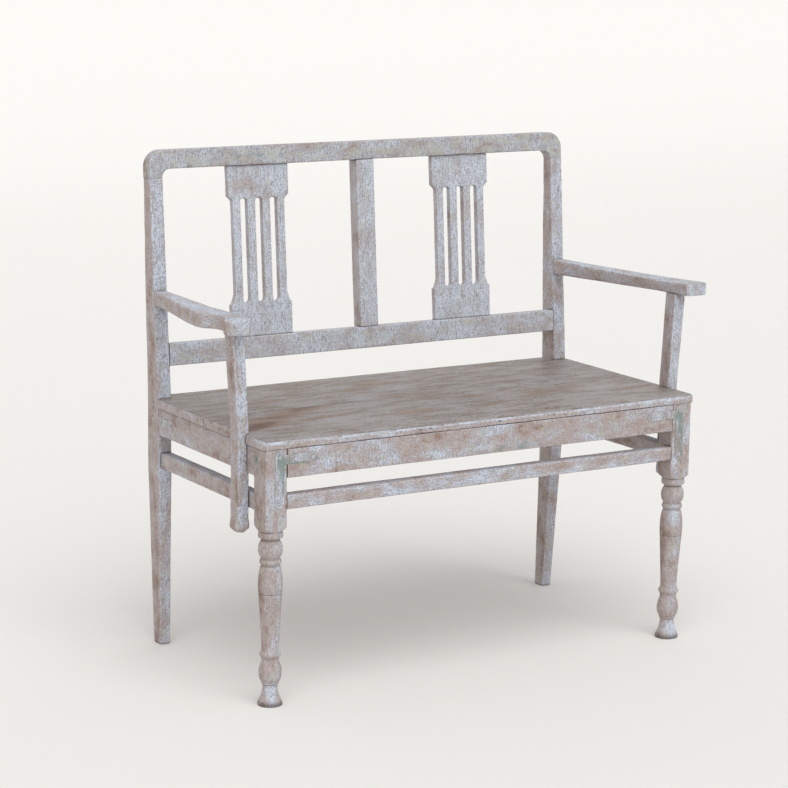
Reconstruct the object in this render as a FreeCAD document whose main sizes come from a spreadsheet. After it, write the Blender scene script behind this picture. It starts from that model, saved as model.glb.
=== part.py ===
import FreeCAD, Part
import os
import re
import Sketcher
from FreeCAD import Placement, Rotation, Vector

# A deacons bench: a painted two-seat wooden bench with an open back, arms and turned front legs.
# X runs along the seat from the middle, Y runs back from the front faces of the legs and Z runs up
# from the floor. Each piece is drawn in these terms and then moved forward by half the depth.
# The back leans, so its rails, splats and pegs are drawn in its own frame: X as before, Y into the
# thickness of the back from its front face, and Z up the slope from the seat.

SIZES = {
    # Outer frame.
    "half_width": 441, "seat_top": 460, "seat_thick": 16, "apron_low": 394, "apron_thick": 20,
    # Back posts.
    "post_wide": 27, "post_front": 403, "post_back": 447, "lean": 4.55, "post_slope": 391,
    "foot_taper": 326, "foot_outer": 430.5, "foot_inner": 409.5, "foot_front": 419.5,
    # Crest rail, lower rail and upright of the back.
    "crest_thick": 26, "crest_low": 406.3, "crest_high": 441.4, "crest_round": 30,
    "rail_low": 56.7, "rail_high": 97.3, "rail_thick": 22,
    "upright_half": 19, "upright_deep": 28,
    # Pierced splats.
    "splat_left": 222, "splat_right": 209, "splat_front": 5, "splat_thick": 12, "splat_half": 62,
    "shaft_half": 53, "slot_pitch": 30.3, "slot_half": 7.3, "slot_low": 158, "slot_high": 347,
    "shoulder_low": 341, "shoulder_high": 352, "base_high": 178, "base_low": 156,
    # Front legs, turned below a square block.
    "leg_block": 42.5, "block_low": 304, "turning": 21.2,
    "collar_low": 292, "ball_place": 272, "ball_half": 20.8, "bead_place": 250, "bead_half": 18.8,
    "swell_place": 212, "swell_half": 20.8, "shaft_low": 96, "thin_half": 15, "neck_half": 15.8,
    "band_place": 90, "band_half": 18.4, "bulb_place": 58, "bulb_half": 19.7,
    "ankle_place": 37, "ankle_half": 12.8, "pad_high": 4,
    # Stretchers.
    "front_bar_low": 340, "front_bar_high": 365, "front_bar_face": 2, "front_bar_back": 26,
    "side_bar_low": 333, "side_bar_high": 361, "side_bar_outer": 436, "side_bar_inner": 413,
    # Seat planks and the bearers under them.
    "seat_half": 443, "plank_joint": 222, "seat_back": 438, "seat_round": 5,
    "apron_rear": 424, "bearer_place": 195, "bearer_half": 18, "bearer_low": 416,
    # Arms and arm posts.
    "arm_front": 36, "arm_inner_rear": 416, "arm_inner_front": 447, "arm_outer_front": 495,
    "arm_low_front": 634, "arm_low_rear": 626, "arm_flat_end": 120,
    "arm_high_front": 659, "arm_high_middle": 654, "arm_high_rear": 655, "arm_middle": 225,
    "arm_bow": 3, "nose_round": 12, "nose_cut": 4,
    # The left arm's own shape: a knee on its outer edge, a neck over the arm post and a round nose.
    "left_high_front": 660, "left_high_rear": 652, "left_inner": 444, "left_rise_end": 140,
    "left_inner_end": 185, "bow_out": 467, "bow_place": 285, "knee_back": 156, "knee_front": 134,
    "neck_out": 477, "neck_back": 112, "neck_front": 72, "nose_out": 491, "nose_back": 56,
    "prop_front": 67, "prop_back": 96, "prop_inner": 436, "prop_outer": 457,
    "prop_top_inner": 445, "prop_top_outer": 469, "prop_neck": 317, "drop_high": 313,
    "drop_low": 298, "drop_tip": 291, "drop_swell": 2,
    # Joints.
    "tenon_thick": 8, "tenon_inset": 6, "long_tenon": 17, "short_tenon": 12,
    # Joint plates let in flush, and their screws.
    "plate_thick": 2, "plate_half": 8.5, "plate_upright": 414, "plate_arm": 426, "plate_end": 342,
    "plate_top": 443, "plate_foot": 343, "rear_upright": 425, "rear_arm": 421, "rear_end": 344,
    "rear_top": 455, "rear_foot": 385,
    "screw_head": 3.8, "screw_half": 1.9, "screw_long": 14,
    # Nails and pegs.
    "nail_head": 2.6, "nail_cap": 1.2, "nail_half": 1.4, "nail_long": 36, "peg_half": 3,
    "peg_long": 19, "peg_proud": 0.5, "play": 0.1,
}

doc = FreeCAD.newDocument("DeaconsBench")
sheet = doc.addObject("Spreadsheet::Sheet", "size")
for row, (name, number) in enumerate(SIZES.items(), start=1):
    sheet.set(f"A{row}", name)
    sheet.set(f"B{row}", str(number))
    sheet.setAlias(f"B{row}", name)
doc.recompute()

TREE = {"front": "XZ_Plane", "side": "YZ_Plane", "plan": "XY_Plane"}
TURN = {"x": Rotation(Vector(0, 1, 0), 90), "y": Rotation(Vector(1, 0, 0), -90), "z": Rotation()}
BENCH_DEPTH = "(post_front + crest_thick * cos(lean) + crest_high * sin(lean))"
pieces = []


# Writes a formula of sheet names in the form that an expression needs.
def formula(text):
    return re.sub(r"\b(?!sin\b|cos\b|tan\b)[a-z][a-z_]+", lambda word: "size." + word.group(), str(text))


def value(text):
    return float(sheet.evalExpression(formula(text)))


def bind(item, place, text):
    item.setExpression(place, formula(text))


# A pair of levels along X for the right side (1) or mirrored to the left side (-1).
def mirrored(side, low, high):
    if side > 0:
        return low, high
    return f"-({high})", f"-({low})"


# A new piece in the bench's frame, or in the leaning frame of the back.
def new_piece(name, leaning=False):
    body = doc.addObject("PartDesign::Body", name)
    body.Label = name
    if leaning:
        body.Placement = Placement(Vector(), Rotation(Vector(1, 0, 0), -value("lean")))
        bind(body, ".Placement.Rotation.Angle", "-lean")
        bind(body, ".Placement.Base.y", f"post_front - {BENCH_DEPTH} / 2")
        bind(body, ".Placement.Base.z", "seat_top")
    else:
        bind(body, ".Placement.Base.y", f"-{BENCH_DEPTH} / 2")
    pieces.append(body)
    return body


def new_sketch(body, plane, level):
    sketch = body.newObject("Sketcher::SketchObject", f"{body.Name}_outline")
    planes = body.Origin.OriginFeatures
    sketch.AttachmentSupport = ([item for item in planes if item.Role == TREE[plane]][0], [""])
    sketch.MapMode = "FlatFace"
    toward = "-" if plane == "front" else ""
    bind(sketch, ".AttachmentOffset.Base.z", f"{toward}({level})")
    return sketch


def fix_point(sketch, item, vertex, across, up):
    for kind, text in (("DistanceX", across), ("DistanceY", up)):
        number = sketch.addConstraint(Sketcher.Constraint(kind, -1, 1, item, vertex, value(text)))
        bind(sketch, f"Constraints[{number}]", text)


# Draws a closed outline through its corners, given as pairs of formulas. A third item, "through",
# marks a point on the way to the next corner, which makes that side an arc.
def draw(sketch, points, side=1):
    points = [(f"{side} * ({point[0]})", *point[1:]) for point in points]
    corners = [point for point in points if len(point) == 2]
    turns = {}
    for point, before in zip(points, [points[-1]] + points[:-1]):
        if len(point) == 3:
            turns[before] = point
    sides = []
    for number, start in enumerate(corners):
        end = corners[(number + 1) % len(corners)]
        first = Vector(value(start[0]), value(start[1]), 0)
        last = Vector(value(end[0]), value(end[1]), 0)
        if start in turns:
            across, up, _ = turns[start]
            middle = Vector(value(across), value(up), 0)
            item = sketch.addGeometry(Part.Arc(first, middle, last))
            mark = sketch.addGeometry(Part.Point(middle), True)
            sketch.addConstraint(Sketcher.Constraint("PointOnObject", mark, 1, item))
            fix_point(sketch, mark, 1, across, up)
        else:
            item = sketch.addGeometry(Part.LineSegment(first, last))
        forward = sketch.getPoint(item, 1).distanceToPoint(first) < 1e-4
        sides.append((item, 1, 2) if forward else (item, 2, 1))
    for number, (item, begin, _) in enumerate(sides):
        before, _, finish = sides[number - 1]
        sketch.addConstraint(Sketcher.Constraint("Coincident", before, finish, item, begin))
        fix_point(sketch, item, begin, *corners[number])


# Extrudes or cuts what a sketch holds over a length, in the direction that the sketch faces.
def extrude(body, sketch, length, cut):
    kind = "PartDesign::Pocket" if cut else "PartDesign::Pad"
    feature = body.newObject(kind, f"{body.Name}_{'cut' if cut else 'stock'}")
    feature.Profile = sketch
    feature.Reversed = cut
    bind(feature, "Length", length)
    return feature


# A slab of wood, or a cut, between two levels across one of the planes.
def slab(body, plane, low, high, outlines, side=1, cut=False):
    if plane == "side":
        low, high = mirrored(side, low, high)
        side = 1
    sketch = new_sketch(body, plane, high if plane == "front" else low)
    for points in outlines:
        draw(sketch, points, side)
    return extrude(body, sketch, f"({high}) - ({low})", cut)


# A box added to or cut from a piece. On a back post, a leaning box lies in the back's frame.
def box(body, across, deep, up, side=1, cut=False, leaning=False):
    kind = "PartDesign::SubtractiveBox" if cut else "PartDesign::AdditiveBox"
    item = body.newObject(kind, f"{body.Name}_{'mortise' if cut else 'box'}")
    across = mirrored(side, *across)
    for place, (low, high) in (("Length", across), ("Width", deep), ("Height", up)):
        bind(item, place, f"({high}) - ({low})")
    bind(item, ".Placement.Base.x", across[0])
    if leaning:
        item.Placement = Placement(Vector(), Rotation(Vector(1, 0, 0), -value("lean")))
        bind(item, ".Placement.Rotation.Angle", "-lean")
        bind(item, ".Placement.Base.y", f"post_front + ({deep[0]}) * cos(lean) + ({up[0]}) * sin(lean)")
        bind(item, ".Placement.Base.z", f"seat_top - ({deep[0]}) * sin(lean) + ({up[0]}) * cos(lean)")
    else:
        bind(item, ".Placement.Base.y", deep[0])
        bind(item, ".Placement.Base.z", up[0])
    return item


# Round holes through a piece between two levels, one for each place on the plane.
def drill(body, plane, low, high, places, radius, side=1):
    if plane == "side":
        low, high = mirrored(side, low, high)
        side = 1
    sketch = new_sketch(body, plane, high if plane == "front" else low)
    for across, up in places:
        across = f"{side} * ({across})"
        centre = Vector(value(across), value(up), 0)
        item = sketch.addGeometry(Part.Circle(centre, Vector(0, 0, 1), value(radius)))
        fix_point(sketch, item, 3, across, up)
        number = sketch.addConstraint(Sketcher.Constraint("Radius", item, value(radius)))
        bind(sketch, f"Constraints[{number}]", radius)
    return extrude(body, sketch, f"({high}) - ({low})", True)


# Rounds or bevels the edges of the last feature whose middles lie nearest the given points.
def ease_edges(body, kind, points, size):
    doc.recompute()
    base = body.Tip
    names = []
    for point in points:
        target = Vector(*[value(text) for text in point])
        gaps = [edge.CenterOfMass.distanceToPoint(target) for edge in base.Shape.Edges]
        names.append(f"Edge{gaps.index(min(gaps)) + 1}")
    feature = body.newObject(f"PartDesign::{kind}", f"{body.Name}_{kind.lower()}")
    feature.Base = (base, names)
    bind(feature, "Radius" if kind == "Fillet" else "Size", size)
    return feature


# A loft between outlines at several levels above the floor.
def loft(body, sections):
    sketches = []
    for level, points in sections:
        sketch = new_sketch(body, "plan", level)
        draw(sketch, points)
        sketches.append(sketch)
    feature = body.newObject("PartDesign::AdditiveLoft", f"{body.Name}_loft")
    feature.Profile = sketches[0]
    feature.Sections = sketches[1:]
    feature.Ruled = True
    return feature


# A rounded corner: the point a quarter turn passes through, from its centre and radius.
def quarter(across, up, radius, toward_x, toward_z):
    reach = f"({radius}) * cos(45)"
    return f"{across} {toward_x} {reach}", f"{up} {toward_z} {reach}", "through"


FRONT_SIDE = ("plate_upright", "plate_arm", "plate_end", "plate_top", "plate_foot")
REAR_SIDE = ("rear_upright", "rear_arm", "rear_end", "rear_top", "rear_foot")


# The outline of a T-shaped joint plate with rounded ends. Its arm points toward the bench's middle.
def plate_outline(upright, arm, end, top, foot):
    half = "plate_half"
    inner, outer = f"{upright} - {half}", f"{upright} + {half}"
    return [
        (outer, f"{foot} + {half}"), (upright, foot, "through"),
        (inner, f"{foot} + {half}"), (inner, f"{arm} - {half}"),
        (f"{end} + {half}", f"{arm} - {half}"), (end, arm, "through"),
        (f"{end} + {half}", f"{arm} + {half}"), (inner, f"{arm} + {half}"),
        (inner, f"{top} - {half}"), (upright, top, "through"),
        (outer, f"{top} - {half}"),
    ]


# The front plate's top end starts where its arm ends, so that pair of corners is one.
def front_plate_outline():
    points = plate_outline(*FRONT_SIDE)
    del points[8]
    return points


front_plate = front_plate_outline()
rear_plate = plate_outline(*REAR_SIDE)
FRONT_SCREWS = [
    ("plate_end + plate_half", "plate_arm"), ("plate_upright - 31", "plate_arm"),
    ("plate_upright", "plate_arm + 4"), ("plate_upright", "plate_arm - 38"),
    ("plate_upright", "plate_foot + plate_half"),
]
REAR_SCREWS = [
    ("rear_end + plate_half", "rear_arm"), ("rear_upright - 35", "rear_arm"),
    ("rear_upright", "rear_top - plate_half"), ("rear_upright", "rear_arm"),
    ("rear_upright", "rear_foot + plate_half"),
]

# Places of the nails and pegs. Seat nails are along X and Y, pegs of the back along X and up the
# slope, and pegs and nails of the sides along Y and Z.
NAIL_ROW = [str(-390 + 130 * step) for step in range(7)]
CROSS_NAILS = ["plank_joint - 112", "plank_joint - 22", "plank_joint + 23", "plank_joint + 108"]
FRONT_ROW = [(across, "apron_thick / 2") for across in NAIL_ROW]
REAR_ROW = [(across, "apron_rear + 6") for across in NAIL_ROW]
CREST_PEGS = [("half_width - post_wide / 2", "crest_low")]
RAIL_PEGS = [("half_width - post_wide + 9", "(rail_low + rail_high) / 2")]
UPRIGHT_PEGS = [("0", "crest_low + 9"), ("0", "rail_high - 9")]
LEG_PEGS = [("34", "plate_arm - 1"), ("34", "plate_arm - 19"), ("34", "(side_bar_low + side_bar_high) / 2")]
POST_PEGS = [("post_front + 7", "(side_bar_low + side_bar_high) / 2")]
PROP_NAILS = [("prop_front + 14", "side_bar_low + 12"), ("prop_front + 14", "apron_low + 22")]
SIDE_PEG = "peg_half - 0.5"

# Tenons of the lower frame: pairs of levels that each tenon shares with its mortise.
INNER_FACE = "half_width - leg_block"
APRON_TENON_UP = ("apron_low + 6", "seat_top - seat_thick - 6")
FRONT_APRON_TENON = ("tenon_inset", "tenon_inset + tenon_thick")
SIDE_APRON_TENON = ("half_width - tenon_inset - 1 - tenon_thick", "half_width - tenon_inset - 1")
BACK_APRON_TENON = ("apron_rear + 4", "apron_rear + 4 + tenon_thick")
FRONT_BAR_TENON = ("front_bar_face + 8", "front_bar_face + 17")
FRONT_BAR_UP = ("front_bar_low + 4", "front_bar_high - 4")
SIDE_BAR_TENON = ("side_bar_inner + 7", "side_bar_inner + 16")
SIDE_BAR_UP = ("side_bar_low + 4", "side_bar_high - 4")
BEARER_TENON = ("bearer_place - bearer_half + 5", "bearer_place + bearer_half - 5")
BEARER_UP = ("bearer_low + 6", "bearer_low + 18")

# Tenons of the back, in its own frame.
POST_TENON_ACROSS = ("half_width - post_wide + 6", "half_width - 6")
POST_TENON_DEEP = ("7", "19")
POST_TENON_UP = ("post_slope", "post_slope + 30")
RAIL_TENON_ACROSS = ("half_width - post_wide", "half_width - post_wide + 18")
RAIL_TENON_DEEP = ("6", "15")
RAIL_TENON_UP = ("rail_low + 4", "rail_high - 4")
UPRIGHT_TENON_ACROSS = ("-upright_half + 7", "upright_half - 7")
UPRIGHT_TENON_DEEP = ("8", "18")
SPLAT_TONGUE_DEEP = ("splat_front + 2", "splat_front + splat_thick - 2")
SPLAT_PLACE = {-1: "splat_left", 1: "splat_right"}
SPLAT_TONGUE = {
    side: (f"{place} - shaft_half", f"{place} + shaft_half") for side, place in SPLAT_PLACE.items()
}

# Tenons of the arms.
ARM_TENON_ACROSS = ("arm_inner_rear + 6", "half_width - 6")
ARM_TENON_DEEP = ("post_front + 7", "post_front + 28")
ARM_TENON_UP = ("arm_low_rear + 6", "left_high_rear - 5")
PROP_TENON_ACROSS = ("prop_top_inner + 6", "prop_top_outer - 6")
PROP_TENON_DEEP = ("prop_front + 7", "prop_back - 7")
PROP_TENON_UP = ("arm_low_front", "arm_low_front + 16")

SIDES = {"left": -1, "right": 1}


# A back post from floor to crest. It leans above the seat and narrows both ways, and its foot
# tapers below the side stretcher.
def make_back_post(hand, side):
    body = new_piece(f"back_post_{hand}")
    rise, run = "post_slope * cos(lean)", "post_slope * sin(lean)"
    profile = [
        ("post_back", "0"), ("foot_front", "0"), ("post_front", "foot_taper"),
        ("post_front", "seat_top"), (f"post_front + {run}", f"seat_top + {rise}"),
        (f"post_front + {run} + crest_thick * cos(lean)", f"seat_top + {rise} - crest_thick * sin(lean)"),
        ("post_back", "seat_top"),
    ]
    slab(body, "side", "foot_inner", "half_width", [profile], side)
    inner = "half_width - post_wide"
    inside = [("foot_inner", "0"), (inner, "foot_taper"), (inner, "900"), ("foot_inner - 9", "900"),
              ("foot_inner - 9", "0")]
    outside = [("half_width", "foot_taper"), ("foot_outer", "0"), ("foot_outer", "-9"),
               ("half_width + 9", "-9"), ("half_width + 9", "foot_taper")]
    slab(body, "front", "post_front - 9", "post_back + 60", [inside, outside], side, cut=True)
    box(body, POST_TENON_ACROSS, POST_TENON_DEEP, ("post_slope - 9", POST_TENON_UP[1]), side, leaning=True)
    box(body, RAIL_TENON_ACROSS, RAIL_TENON_DEEP, RAIL_TENON_UP, side, cut=True, leaning=True)
    box(body, ARM_TENON_ACROSS, ARM_TENON_DEEP, ARM_TENON_UP, side, cut=True)
    front = ("post_front", "post_front + long_tenon")
    box(body, SIDE_APRON_TENON, front, APRON_TENON_UP, side, cut=True)
    box(body, SIDE_BAR_TENON, ("post_front", "post_front + short_tenon"), SIDE_BAR_UP, side, cut=True)
    box(body, (inner, f"{inner} + short_tenon"), BACK_APRON_TENON, APRON_TENON_UP, side, cut=True)
    slab(body, "side", "half_width - plate_thick", "half_width", [rear_plate], side, cut=True)
    on_post = [place for place in REAR_SCREWS if place[0] == "rear_upright"]
    drill(body, "side", "half_width - screw_long", "half_width", on_post, "screw_half + play", side)
    drill(body, "side", "half_width - peg_long", "half_width", POST_PEGS, f"{SIDE_PEG} + play", side)
    for place in CREST_PEGS + RAIL_PEGS:
        drill_leaning(body, place, side)
    return body


# A peg hole square to the leaning face of a back post.
def drill_leaning(body, place, side):
    hole = body.newObject("PartDesign::SubtractiveCylinder", f"{body.Name}_peg_hole")
    hole.Placement = Placement(Vector(), Rotation(Vector(1, 0, 0), -90 - value("lean")))
    bind(hole, "Radius", "peg_half + play")
    bind(hole, "Height", "peg_long + 1")
    bind(hole, ".Placement.Rotation.Angle", "-90 - lean")
    bind(hole, ".Placement.Base.x", f"{side} * ({place[0]})")
    bind(hole, ".Placement.Base.y", f"post_front - cos(lean) + ({place[1]}) * sin(lean)")
    bind(hole, ".Placement.Base.z", f"seat_top + sin(lean) + ({place[1]}) * cos(lean)")


# The crest rail: rounded outer corners, and ends that turn down to meet the posts.
def make_crest_rail():
    body = new_piece("crest_rail", leaning=True)
    inner = "half_width - post_wide"
    bend, turn = "(crest_low - post_slope)", "crest_round"
    right = [
        ("half_width - crest_round", "crest_high"),
        quarter(f"half_width - {turn}", f"crest_high - {turn}", turn, "+", "+"),
        ("half_width", "crest_high - crest_round"), ("half_width", "post_slope"), (inner, "post_slope"),
        quarter(f"{inner} - {bend}", "post_slope", bend, "+", "+"),
        (f"{inner} - {bend}", "crest_low"),
    ]
    left = [(f"-({item[0]})", *item[1:]) for item in reversed(right)]
    slab(body, "front", "0", "crest_thick", [right + left])
    top = ("crest_low", "crest_low + 18")
    box(body, UPRIGHT_TENON_ACROSS, UPRIGHT_TENON_DEEP, top, cut=True)
    for side in SIDES.values():
        box(body, POST_TENON_ACROSS, POST_TENON_DEEP, POST_TENON_UP, side, cut=True)
        box(body, SPLAT_TONGUE[side], SPLAT_TONGUE_DEEP, ("crest_low", "crest_low + 10"), side, cut=True)
        drill(body, "front", "-1", "peg_long", CREST_PEGS, "peg_half + play", side)
    drill(body, "front", "-1", "peg_long", UPRIGHT_PEGS[:1], "peg_half + play")


def make_lower_back_rail():
    body = new_piece("lower_back_rail", leaning=True)
    inner = "(half_width - post_wide)"
    box(body, (f"-{inner}", inner), ("0", "rail_thick"), ("rail_low", "rail_high"))
    box(body, UPRIGHT_TENON_ACROSS, UPRIGHT_TENON_DEEP, ("rail_high - 18", "rail_high"), cut=True)
    reach = ("half_width - post_wide - 9", RAIL_TENON_ACROSS[1])
    for side in SIDES.values():
        box(body, reach, RAIL_TENON_DEEP, RAIL_TENON_UP, side)
        box(body, SPLAT_TONGUE[side], SPLAT_TONGUE_DEEP, ("rail_high - 10", "rail_high"), side, cut=True)
        drill(body, "front", "-1", "peg_long", RAIL_PEGS, "peg_half + play", side)
    drill(body, "front", "-1", "peg_long", UPRIGHT_PEGS[1:], "peg_half + play")


# The upright in the middle of the back, between the crest rail and the lower rail.
def make_back_centre_post():
    body = new_piece("back_centre_post", leaning=True)
    box(body, ("-upright_half", "upright_half"), ("0", "upright_deep"), ("rail_high", "crest_low"))
    box(body, UPRIGHT_TENON_ACROSS, UPRIGHT_TENON_DEEP, ("rail_high - 18", "crest_low + 18"))
    drill(body, "front", "-1", "peg_long", UPRIGHT_PEGS, "peg_half + play")


# A pierced splat: a wide head and foot, and between them a shaft of four bars.
def make_splat(hand, side):
    body = new_piece(f"splat_{hand}", leaning=True)
    middle = SPLAT_PLACE[side]

    def half(sign):
        return [
            (f"{middle} {sign} splat_half", "rail_high"), (f"{middle} {sign} splat_half", "base_low"),
            (f"{middle} {sign} (shaft_half + 2)", "base_low + 9", "through"),
            (f"{middle} {sign} shaft_half", "base_high"), (f"{middle} {sign} shaft_half", "shoulder_low"),
            (f"{middle} {sign} (shaft_half + 3)", "shoulder_high - 3.5", "through"),
            (f"{middle} {sign} splat_half", "shoulder_high"), (f"{middle} {sign} splat_half", "crest_low"),
        ]

    right, left = half("+"), list(reversed(half("-")))
    outlines = [right + left]
    for step in (-1, 0, 1):
        centre = f"{middle} + {step} * slot_pitch"
        outlines.append([
            (f"{centre} - slot_half", "slot_low + slot_half"), (centre, "slot_low", "through"),
            (f"{centre} + slot_half", "slot_low + slot_half"), (f"{centre} + slot_half", "slot_high - 3"),
            (centre, "slot_high", "through"), (f"{centre} - slot_half", "slot_high - 3"),
        ])
    slab(body, "front", "splat_front", "splat_front + splat_thick", outlines, side)
    box(body, SPLAT_TONGUE[side], SPLAT_TONGUE_DEEP, ("rail_high - 10", "rail_high + 2"), side)
    box(body, SPLAT_TONGUE[side], SPLAT_TONGUE_DEEP, ("crest_low - 2", "crest_low + 10"), side)


# The turned part of a front leg, from the leg's axis outward.
def leg_profile():
    neck, thin = "neck_half", "thin_half"
    return [
        ("0", "0"), ("turning - 1", "0"), ("turning", "pad_high"),
        ("ankle_half + 1.5", "(pad_high + ankle_place) / 2", "through"),
        ("ankle_half", "ankle_place"), (thin, "ankle_place + 1"), (thin, "ankle_place + 4"),
        ("bulb_half", "bulb_place", "through"),
        (thin, "bulb_place + 18"), (thin, "band_place - 6"), ("band_half", "band_place", "through"),
        (thin, "shaft_low"), ("swell_half - 0.4", "swell_place - 8"),
        ("swell_half - 0.4", "swell_place + 8", "through"),
        ("neck_half + 1.5", "bead_place - 8"), (neck, "bead_place - 6"),
        ("bead_half", "bead_place", "through"),
        (neck, "bead_place + 6"), (neck, "ball_place - 15"), ("ball_half", "ball_place", "through"),
        (neck, "ball_place + 15"), (neck, "collar_low - 3"), ("turning", "collar_low"),
        ("turning", "collar_low + 9"), ("turning - 1.5", "block_low - 2"),
        ("turning - 1.5", "block_low + 2"), ("0", "block_low + 2"),
    ]


# A front leg: a square block for the joints, whose lower corners are turned away, over the turning.
def make_front_leg(hand, side):
    body = new_piece(f"front_leg_{hand}")
    centre = "half_width - leg_block / 2"
    height = ("block_low", "seat_top - seat_thick")
    box(body, (INNER_FACE, "half_width"), ("0", "leg_block"), height, side)
    corner = [("turning", "block_low"), ("turning + 12", "block_low + 12"), ("turning + 12", "block_low - 3"),
              ("turning", "block_low - 3")]
    for kind, points in (("Revolution", leg_profile()), ("Groove", corner)):
        sketch = new_sketch(body, "front", "leg_block / 2")
        bind(sketch, ".AttachmentOffset.Base.x", f"{side} * ({centre})")
        draw(sketch, points)
        feature = body.newObject(f"PartDesign::{kind}", f"{body.Name}_turning")
        feature.Profile = sketch
        feature.ReferenceAxis = (sketch, ["V_Axis"])
    into = (INNER_FACE, f"{INNER_FACE} + long_tenon")
    box(body, into, FRONT_APRON_TENON, APRON_TENON_UP, side, cut=True)
    into = (INNER_FACE, f"{INNER_FACE} + short_tenon")
    box(body, into, FRONT_BAR_TENON, FRONT_BAR_UP, side, cut=True)
    box(body, SIDE_APRON_TENON, ("leg_block - long_tenon", "leg_block"), APRON_TENON_UP, side, cut=True)
    box(body, SIDE_BAR_TENON, ("leg_block - short_tenon", "leg_block"), SIDE_BAR_UP, side, cut=True)
    slab(body, "front", "0", "plate_thick", [front_plate], side, cut=True)
    on_leg = [place for place in FRONT_SCREWS if place[0] == "plate_upright"]
    drill(body, "front", "0", "screw_long", on_leg, "screw_half + play", side)
    drill(body, "side", "half_width - peg_long", "half_width", LEG_PEGS, f"{SIDE_PEG} + play", side)


def make_front_apron():
    body = new_piece("front_apron")
    height = ("apron_low", "seat_top - seat_thick")
    box(body, (f"-({INNER_FACE})", INNER_FACE), ("0", "apron_thick"), height)
    for side in SIDES.values():
        reach = (f"{INNER_FACE} - 9", f"{INNER_FACE} + long_tenon")
        box(body, reach, FRONT_APRON_TENON, APRON_TENON_UP, side)
        box(body, BEARER_TENON, ("apron_thick - 8", "apron_thick"), BEARER_UP, side, cut=True)
        slab(body, "front", "0", "plate_thick", [front_plate], side, cut=True)
        drill(body, "front", "0", "screw_long", FRONT_SCREWS[:3], "screw_half + play", side)
    drill(body, "plan", "seat_top - nail_long", height[1], FRONT_ROW, "nail_half + play")


def make_back_apron():
    body = new_piece("back_apron")
    height = ("apron_low", "seat_top - seat_thick")
    inner = "(half_width - post_wide)"
    box(body, (f"-{inner}", inner), ("apron_rear", "apron_rear + apron_thick"), height)
    for side in SIDES.values():
        box(body, (f"{inner} - 9", f"{inner} + short_tenon"), BACK_APRON_TENON, APRON_TENON_UP, side)
        box(body, BEARER_TENON, ("apron_rear", "apron_rear + 8"), BEARER_UP, side, cut=True)
    drill(body, "plan", "seat_top - nail_long", height[1], REAR_ROW, "nail_half + play")


# A side apron, tenoned into the leg and the post, and housed on its outer face for the arm post.
def make_side_apron(hand, side):
    body = new_piece(f"side_apron_{hand}")
    height = ("apron_low", "seat_top - seat_thick")
    box(body, ("half_width - apron_thick", "half_width"), ("leg_block", "post_front"), height, side)
    box(body, SIDE_APRON_TENON, ("leg_block - long_tenon", "post_front + long_tenon"), APRON_TENON_UP, side)
    box(body, ("prop_inner", "half_width"), ("prop_front", "prop_back"), height, side, cut=True)
    nails = [(f"{side} * (half_width - apron_thick / 2)", place) for place in CROSS_NAILS]
    drill(body, "plan", "seat_top - nail_long", height[1], nails, "nail_half + play")
    slab(body, "side", "half_width - plate_thick", "half_width", [rear_plate], side, cut=True)
    drill(body, "side", "half_width - screw_long", "half_width", REAR_SCREWS[:2], "screw_half + play", side)
    drill(body, "side", "half_width - peg_long", "half_width", LEG_PEGS[:2], f"{SIDE_PEG} + play", side)
    drill(body, "side", "prop_outer - nail_long", "half_width", PROP_NAILS[1:], "nail_half + play", side)


def make_front_stretcher():
    body = new_piece("front_stretcher")
    height = ("front_bar_low", "front_bar_high")
    box(body, (f"-({INNER_FACE})", INNER_FACE), ("front_bar_face", "front_bar_back"), height)
    reach = f"({INNER_FACE} + short_tenon)"
    box(body, (f"-{reach}", reach), FRONT_BAR_TENON, FRONT_BAR_UP)


def make_side_stretcher(hand, side):
    body = new_piece(f"side_stretcher_{hand}")
    height = ("side_bar_low", "side_bar_high")
    box(body, ("side_bar_inner", "side_bar_outer"), ("leg_block", "post_front"), height, side)
    box(body, SIDE_BAR_TENON, ("leg_block - short_tenon", "post_front + short_tenon"), SIDE_BAR_UP, side)
    pegs = LEG_PEGS[2:] + POST_PEGS
    drill(body, "side", "half_width - peg_long", "half_width", pegs, f"{SIDE_PEG} + play", side)
    drill(body, "side", "prop_outer - nail_long", "half_width", PROP_NAILS[:1], "nail_half + play", side)


# Nail holes through a seat plank, with room for the heads.
def nail_plank(body, places):
    drill(body, "plan", "seat_top - seat_thick", "seat_top", places, "nail_half + play")
    drill(body, "plan", "seat_top - nail_cap", "seat_top", places, "nail_head + play")


def cross_nails(levels):
    places = []
    for side in SIDES.values():
        for across in ("half_width - apron_thick / 2", "bearer_place"):
            places += [(f"{side} * ({across})", level) for level in levels]
    return places


# The front seat plank, worn round at its front edge and notched for the arm posts.
def make_front_plank():
    body = new_piece("seat_plank_front")
    height = ("seat_top - seat_thick", "seat_top")
    box(body, ("-seat_half", "seat_half"), ("0", "plank_joint"), height)
    ease_edges(body, "Fillet", [("0", "0", "seat_top")], "seat_round")
    for side in SIDES.values():
        box(body, ("prop_inner", "seat_half"), ("prop_front", "prop_back"), height, side, cut=True)
    nail_plank(body, FRONT_ROW + cross_nails(CROSS_NAILS[:2]))


# The rear seat plank, notched round the back posts.
def make_rear_plank():
    body = new_piece("seat_plank_rear")
    height = ("seat_top - seat_thick", "seat_top")
    box(body, ("-seat_half", "seat_half"), ("plank_joint", "seat_back"), height)
    corner = ("half_width - post_wide", "seat_half")
    for side in SIDES.values():
        box(body, corner, ("post_front", "seat_back"), height, side, cut=True)
    nail_plank(body, REAR_ROW + cross_nails(CROSS_NAILS[2:]))


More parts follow.
